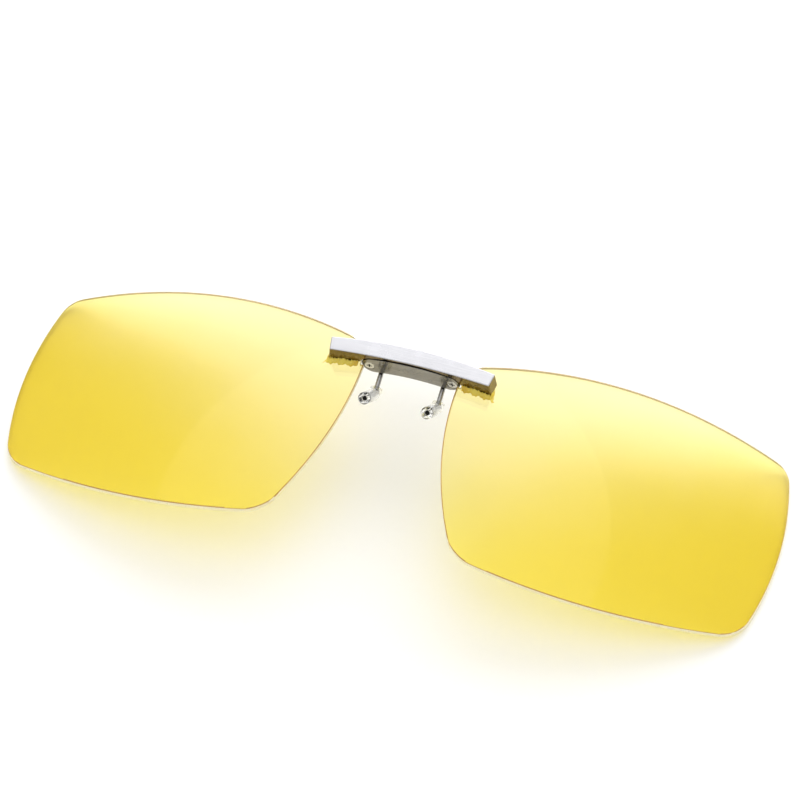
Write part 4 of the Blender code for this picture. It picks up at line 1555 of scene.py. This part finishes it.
@dataclass
class Clip:
    """The rocking clip: pin, rocker, springs and the two sleeved hooks.

    Attributes:
        hub_radius: of the rocker's knuckles.
        half_length: of the rocker.
        centre_knuckle: length of the middle one.
        end_knuckle: length of each end one.
        tab_angle: how far the thumb tab leans back.
        tab_length: from the pin to the tab's edge.
        tab_width: across the tab.
        tab_thickness: of the tab.
        tab_edge: radius of its edges.
        web_reach: of the full-width part.
        ribs: grip ribs on the tab.
        rib_radius: of each rib.
        rib_pitch: from rib to rib.
        running_gap: of moving fits.
        spring_wire: diameter.
        spring_turns: full turns.
        spring_pitch: from turn to turn.
        spring_pin_gap: from the pin to the coil.
        spring_leg: of the leg in the bar.
        spring_tab_leg: of the leg on the tab.
        spring_leg_lift: angle of the leg in the bar.
        wire: diameter of the hooks' wire.
        root: top end of the wire from the pin, in Y and Z.
        leg: length of the leg to the bend's corner.
        leg_tilt: how far the leg leans back.
        arm: length from the corner to the tip.
        arm_tilt: how far the arm leans forwards.
        bend_radius: of the wire's middle line.
        socket_wall: round the wire in the rocker.
        socket_drop: underside of that block below the pin.
        sleeve_wall: of the sleeve.
        sleeve_overhang: beyond the tip.
        sleeve_start: before the bend.
        sleeve_lip: radius of the sleeve's ends.
    """

    hub_radius: float = 0.875 * MM
    half_length: float = 6.55 * MM
    centre_knuckle: float = 3.4 * MM
    end_knuckle: float = 1.6 * MM
    tab_angle: float = radians(40.0)
    tab_length: float = 5.2 * MM
    tab_width: float = 9.0 * MM
    tab_thickness: float = 0.8 * MM
    tab_edge: float = 0.2 * MM
    web_reach: float = 2.3 * MM
    ribs: int = 3
    rib_radius: float = 0.2 * MM
    rib_pitch: float = 0.8 * MM
    running_gap: float = 0.05 * MM
    spring_wire: float = 0.28 * MM
    spring_turns: int = 5
    spring_pitch: float = 0.36 * MM
    spring_pin_gap: float = 0.14 * MM
    spring_leg: float = 2.4 * MM
    spring_tab_leg: float = 1.92 * MM
    spring_leg_lift: float = radians(5.0)
    wire: float = 0.9 * MM
    root: tuple[float, float] = (0.5 * MM, -1.2 * MM)
    leg: float = 5.75 * MM
    leg_tilt: float = radians(12.0)
    arm: float = 7.8 * MM
    arm_tilt: float = radians(52.0)
    bend_radius: float = 1.2 * MM
    socket_wall: float = 0.5 * MM
    socket_drop: float = 0.57 * MM
    sleeve_wall: float = 0.65 * MM
    sleeve_overhang: float = 0.35 * MM
    sleeve_start: float = 0.4 * MM
    sleeve_lip: float = 0.2 * MM

    def __post_init__(self) -> None:
        """Read the pin's axis and size from the frame."""
        low, high = box_of("hinge_pin")
        self.pin = (low + high) / 2.0
        self.pin_radius = (high.y - low.y) / 2.0
        self.pin_half = high.x

    def at(self, x: float, place: Sequence[float]) -> Vector:
        """A point from its X and its place in Y and Z round the pin."""
        return Vector((x, self.pin.y + place[0], self.pin.z + place[1]))

    # Pin and rocker

    def build_pin(self) -> bpy.types.Object:
        """The hinge pin, with rounded ends.

        Returns:
            The object.
        """
        pin = Bench.rod("hinge_pin_drawn", self.pin_radius, self.at(-self.pin_half, (0, 0)),
                        self.at(self.pin_half, (0, 0)), 48)
        Bench.soften(pin, 0.12 * MM, 4, CORNER)
        Bench.smooth(pin)
        dress(pin, PIN_STEEL.material())
        set_down(pin, Body.BRIDGE, "hinge_pin")
        return pin

    def tab_point(self, along: float, across: float) -> tuple[float, float]:
        """A place round the pin, along the thumb tab and across its thickness."""
        lean = self.tab_angle
        return (along * cos(lean) + across * sin(lean), -along * sin(lean) + across * cos(lean))

    def tab_slab(self, name: str, half_width: float, start: float, end: float) -> bpy.types.Object:
        """A slab of the thumb tab between two distances from the pin.

        Args:
            name: the new object's name.
            half_width: half its width along X.
            start: nearer distance.
            end: farther distance.

        Returns:
            The object.
        """
        half = self.tab_thickness / 2.0
        corners = ((start, half), (start, -half), (end, -half), (end, half))
        return Bench.slab(name, [self.at(-half_width, self.tab_point(*c)) for c in corners],
                          X_AXIS * 2.0 * half_width)

    def hook_x(self, side: Side) -> float:
        """A hook's distance from the middle."""
        low, high = box_of(f"hook_wire_{side.label}")
        return (low.x + high.x) / 2.0

    def build_rocker(self) -> bpy.types.Object:
        """The rocker: hub, web, thumb tab with its ribs, and a socket for each hook.

        Returns:
            The object.
        """
        rocker = Bench.rod("rocker_hub", self.hub_radius, self.at(-self.half_length, (0, 0)),
                           self.at(self.half_length, (0, 0)), 72)
        Bench.soften(rocker, 0.08 * MM, 2, RIM)
        web_half = self.half_length - self.running_gap
        web = self.tab_slab("web", web_half, 0.0, self.web_reach)
        Bench.join(rocker, Bench.soften(web, 0.1 * MM, 2, RIM))
        knuckle_in = self.half_length - self.end_knuckle
        coil_room = self.coil_radius + self.spring_wire + 0.25 * MM
        outer = self.wire / 2.0 + self.socket_wall
        for side in Side:
            spans = sorted((side.value * self.centre_knuckle / 2.0, side.value * knuckle_in))
            Bench.cut(rocker, Bench.rod("spring_room", coil_room, self.at(spans[0], (0, 0)),
                                        self.at(spans[1], (0, 0))))
            spans = sorted((side.value * knuckle_in, side.value * self.half_length))
            block = Bench.block("socket", self.at(spans[0], (-self.socket_drop,
                                                             self.root[1] - outer)),
                                self.at(spans[1], (self.root[0] + self.socket_wall, 0.0)))
            Bench.join(rocker, Bench.soften(block, 0.14 * MM, 3, RIM))
        tab = self.tab_slab("tab", self.tab_width / 2.0, self.web_reach - self.tab_thickness,
                            self.tab_length)
        Bench.join(rocker, Bench.soften(tab, self.tab_edge, 4, RIM))
        reach = self.tab_width / 2.0 - self.rib_pitch
        for i in range(self.ribs):
            place = self.tab_point(self.tab_length - self.rib_pitch * (i + 1),
                                   -self.tab_thickness / 2.0)
            rib = Bench.rod("rib", self.rib_radius, self.at(-reach, place), self.at(reach, place),
                            24)
            Bench.join(rocker, Bench.soften(rib, 0.06 * MM, 2, RIM))
        Bench.cut(rocker, Bench.rod("bore", self.pin_radius + self.running_gap,
                                    self.at(-self.pin_half, (0, 0)),
                                    self.at(self.pin_half, (0, 0)), 56))
        root, corner, _ = self.hook_corners()
        lifted = Vector(root) + (Vector(root) - Vector(corner)).normalized() * self.running_gap
        for side in Side:
            x = self.hook_x(side)
            Bench.cut(rocker, Bench.rod("wire_socket", self.wire / 2.0 + self.running_gap,
                                        self.at(x, lifted), self.at(x, corner), 48))
        rocker.name = "thumb_rocker"
        Bench.smooth(rocker)
        dress(rocker, ROCKER_STEEL.material())
        set_down(rocker, Body.CLIP, "rocker")
        return rocker

    # Springs

    @property
    def coil_radius(self) -> float:
        """Radius of the springs' middle line."""
        return self.pin_radius + self.spring_wire / 2.0 + self.spring_pin_gap

    def spring_path(self, side: Side) -> list[Vector]:
        """The end of the tab's leg, the turns round the pin and the end of the leg in the bar.

        Args:
            side: which half of the pair.

        Returns:
            The points.
        """
        first = pi / 2.0 - self.tab_angle
        last = 2.0 * pi * self.spring_turns - self.spring_leg_lift
        knuckle_in = self.half_length - self.end_knuckle
        middle = (self.centre_knuckle / 2.0 + knuckle_in) / 2.0
        length = self.spring_pitch * (last - first) / (2.0 * pi)
        steps = 40 * self.spring_turns
        points: list[Vector] = []
        for i in range(steps + 1):
            angle = first + (last - first) * i / steps
            x = middle - length / 2.0 + length * i / steps
            points.append(self.at(side.value * x, (self.coil_radius * cos(angle),
                                                   self.coil_radius * sin(angle))))
        arriving = Vector((0.0, sin(first), -cos(first)))
        leaving = Vector((0.0, -sin(last), cos(last)))
        return ([points[0] + arriving * self.spring_tab_leg] + points
                + [points[-1] + leaving * self.spring_leg])

    def build_spring(self, side: Side) -> bpy.types.Object:
        """Wind one torsion spring.

        Args:
            side: which half of the pair.

        Returns:
            The object.
        """
        Bench.clear()
        bpy.ops.curve.primitive_bezier_curve_add(location=(0.0, 0.0, 0.0))
        spring = bpy.context.object
        spring.name = f"coil_spring_{side.label}"
        curve = spring.data
        curve.splines.clear()
        curve.dimensions = "3D"
        curve.bevel_depth = self.spring_wire / 2.0
        curve.bevel_resolution = 4
        curve.use_fill_caps = True
        spline = curve.splines.new("POLY")
        tab_end, *points = self.spring_path(side)
        spline.points.add(len(points) - 1)
        for place, point in zip(spline.points, points):
            place.co = (*point, 1.0)
        bpy.ops.object.convert(target="MESH")
        spring = bpy.context.object
        Bench.outward(spring)
        Bench.smooth(spring, radians(40.0))
        dress(spring, SPRING_STEEL.material())
        set_down(spring, Body.BRIDGE, f"torsion_spring_{side.label}")
        leg = Bench.rod(f"spring_leg_{side.label}", self.spring_wire / 2.0, tab_end, points[0], 24)
        Bench.soften(leg, 0.04 * MM, 2, RIM)
        Bench.smooth(leg)
        dress(leg, SPRING_STEEL.material())
        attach(leg, Body.CLIP.value)
        LOG.info("%s: follows the thumb tab on %s", leg.name, Body.CLIP.value)
        return spring

    # Hooks

    def hook_corners(self) -> tuple[tuple[float, float], ...]:
        """Root, bend corner and tip of a hook wire, in Y and Z round the pin.

        Returns:
            The three places.
        """
        corner = (self.root[0] - cos(self.leg_tilt) * self.leg,
                  self.root[1] - sin(self.leg_tilt) * self.leg)
        tip = (corner[0] - cos(self.arm_tilt) * self.arm,
               corner[1] + sin(self.arm_tilt) * self.arm)
        return self.root, corner, tip

    def bent_tube(self, name: str, side: Side, radius: float, before: float | None,
                  beyond: float, sides: int) -> bpy.types.Object:
        """An open tube along a hook: a straight leg, a spun bend and a straight arm.

        Args:
            name: the piece's name.
            side: which hook.
            radius: of the tube.
            before: length ahead of the bend, or None for the whole leg.
            beyond: length past the wire's tip.
            sides: faces round the tube.

        Returns:
            The open tube.
        """
        x = self.hook_x(side)
        root, corner, tip = (self.at(x, place) for place in self.hook_corners())
        down = (corner - root).normalized()
        out = (tip - corner).normalized()
        turn = down.angle(out)
        setback = self.bend_radius * tan(turn / 2.0)
        bend_start = corner - down * setback
        start = root if before is None else bend_start - down * before
        axis = down.cross(out).normalized()
        centre = bend_start + axis.cross(down) * self.bend_radius
        tube = Bench.ring(name, start, down, radius, sides)
        with Bench.editing(tube, "EDGE"):
            bpy.ops.mesh.select_all(action="SELECT")
            self.draw_out(bend_start - start)
            bpy.ops.mesh.spin(steps=14, angle=-turn, center=centre, axis=axis)
            self.draw_out(tip + out * beyond - corner - out * setback)
        Bench.outward(tube)
        return tube

    @staticmethod
    def draw_out(run: Vector, steps: int = 6) -> None:
        """Extrude what is selected along a straight run in equal steps."""
        for _ in range(steps):
            bpy.ops.mesh.extrude_region_move(TRANSFORM_OT_translate={"value": run / steps})

    def build_hook(self, side: Side) -> bpy.types.Object:
        """Bend one hook wire and round its ends.

        Args:
            side: which half of the pair.

        Returns:
            The object.
        """
        hook = self.bent_tube(f"hook_{side.label}", side, self.wire / 2.0, None, 0.0, 40)
        Bench.cap(hook)
        Bench.outward(hook)
        Bench.soften(hook, self.wire * 0.22, 5, RIM)
        Bench.smooth(hook)
        dress(hook, HOOK_STEEL.material(), SHADE_STEEL.material())
        out = Vector((0.0, -cos(self.arm_tilt), sin(self.arm_tilt)))
        tip = self.at(self.hook_x(side), self.hook_corners()[2])
        # The wire's cut end gets near black: painted shade for the hole at the sleeve's end.
        for face in hook.data.polygons:
            near = (face.center - tip).dot(out) > -0.3 * self.wire
            face.material_index = int(near and face.normal.dot(out) > 0.25)
        set_down(hook, Body.CLIP, f"hook_wire_{side.label}")
        return hook

    def build_sleeve(self, side: Side) -> bpy.types.Object:
        """Push one soft sleeve over a hook's arm.

        Args:
            side: which half of the pair.

        Returns:
            The object.
        """
        outer = self.wire / 2.0 + self.sleeve_wall
        sleeve = self.bent_tube(f"soft_sleeve_{side.label}", side, outer, self.sleeve_start,
                                self.sleeve_overhang, 48)
        Bench.modify(sleeve, "SOLIDIFY", thickness=self.sleeve_wall - self.running_gap,
                     offset=-1.0, use_even_offset=True)
        Bench.soften(sleeve, self.sleeve_lip, 5, RIM)
        Bench.smooth(sleeve)
        dress(sleeve, CLEAR_RUBBER.material())
        set_down(sleeve, Body.CLIP, f"hook_sleeve_{side.label}")
        return sleeve


# Studio


@dataclass
class Studio:
    """Floor, light and camera.

    Attributes:
        azimuth: of the camera round the glasses.
        elevation: of the camera above the floor.
        roll: of the camera about its own axis.
        distance: from the camera to the aim.
        aim_right: aim to the right of the lenses' upper nose corners.
        aim_up: aim above them.
        picture_width: what the camera takes in at the aim.
        nose_above_bar: the lenses' nose corners above the bar's top.
        room_light: brightness of the room.
        window_light: brightness of its back.
        lamp_power: of the lamp overhead, in watts.
    """

    azimuth: float = radians(21.95)
    elevation: float = radians(58.13)
    roll: float = radians(-5.59)
    distance: float = 900.0 * MM
    aim_right: float = -3.06 * MM
    aim_up: float = -8.22 * MM
    picture_width: float = 140.2 * MM
    nose_above_bar: float = 0.8 * MM
    room_light: float = 0.90
    window_light: float = 3.4
    lamp_power: float = 1.6

    def build_camera(self) -> bpy.types.Object:
        """Point the camera at the glasses.

        Returns:
            The object.
        """
        back = Vector((sin(self.azimuth) * cos(self.elevation),
                       -cos(self.azimuth) * cos(self.elevation), sin(self.elevation)))
        level = Vector((cos(self.azimuth), sin(self.azimuth), 0.0))
        upright = back.cross(level)
        right = level * cos(self.roll) + upright * sin(self.roll)
        up = upright * cos(self.roll) - level * sin(self.roll)
        nose = Vector((0.0, high_of("bridge_bar").y + self.nose_above_bar, BALL.apex))
        aim = nose + right * self.aim_right + up * self.aim_up
        data = bpy.data.cameras.new("camera")
        data.sensor_width = 36.0
        data.lens = data.sensor_width * self.distance / self.picture_width
        data.clip_start = 10.0 * MM
        camera = bpy.data.objects.new("camera", data)
        turned = Matrix((right, up, back)).transposed().to_4x4()
        camera.matrix_world = Matrix.Translation(aim + back * self.distance) @ turned
        bpy.context.scene.collection.objects.link(camera)
        bpy.context.scene.camera = camera
        return camera

    def build_floor(self) -> bpy.types.Object:
        """A plain pale floor under the glasses.

        Returns:
            The object.
        """
        Bench.clear()
        bpy.ops.mesh.primitive_plane_add(size=6.0, location=(0.0, 0.0, CAD_BOX[0].z))
        floor = Bench.named("floor")
        paint = Paint("pale_floor")
        grain = paint.noise(paint.place, 900.0, 2.0)
        tone = paint.blend(grain, (0.93, 0.93, 0.925), (0.95, 0.95, 0.945))
        dress(floor, paint.set(Base_Color=tone, Roughness=0.6))
        return floor

    def build_light(self) -> None:
        """A pale room with a bright window at its back and one soft box overhead."""
        world = bpy.data.worlds.new("studio")
        world.use_nodes = True
        bpy.context.scene.world = world
        sky = Sketch(world.node_tree)
        parts = sky.add("ShaderNodeSeparateXYZ")
        sky.feed(parts.inputs[0], sky.add("ShaderNodeTexCoord").outputs["Object"])
        window = sky.span(parts.outputs["Y"], 0.50, 0.74, self.room_light, self.window_light)
        glow = sky.maths("MULTIPLY", window, sky.span(parts.outputs["Z"], 0.0, 0.5, 0.12, 1.0))
        background = sky.tree.nodes["Background"]
        background.inputs["Color"].default_value = (1.0, 1.0, 1.0, 1.0)
        sky.feed(background.inputs["Strength"], glow)
        data = bpy.data.lights.new("top_box", "AREA")
        data.shape = "DISK"
        data.size = 1.3
        data.energy = self.lamp_power
        lamp = bpy.data.objects.new("top_box", data)
        lamp.location = (-0.2, 0.35, 1.2)
        lamp.rotation_euler = lamp.location.to_track_quat("Z", "Y").to_euler()
        bpy.context.scene.collection.objects.link(lamp)
        bpy.context.scene.view_settings.view_transform = "Standard"

    def build(self) -> None:
        """Set up the floor, the light and the camera."""
        self.build_floor()
        self.build_light()
        self.build_camera()


def main() -> None:
    """Build every piece in order, then the studio."""
    logging.basicConfig(level=logging.INFO, format="%(name)s: %(message)s")
    lenses = LensPair()
    bonds = BondLine()
    plate = CoverPlate()
    clip = Clip()
    BridgeBar().build()
    plate.build()
    clip.build_pin()
    clip.build_rocker()
    for side in Side:
        lenses.build(side)
        bonds.build(side)
        plate.build_screw(side)
        clip.build_spring(side)
        clip.build_hook(side)
        clip.build_sleeve(side)
    Studio().build()


if __name__ == "__main__":
    main()
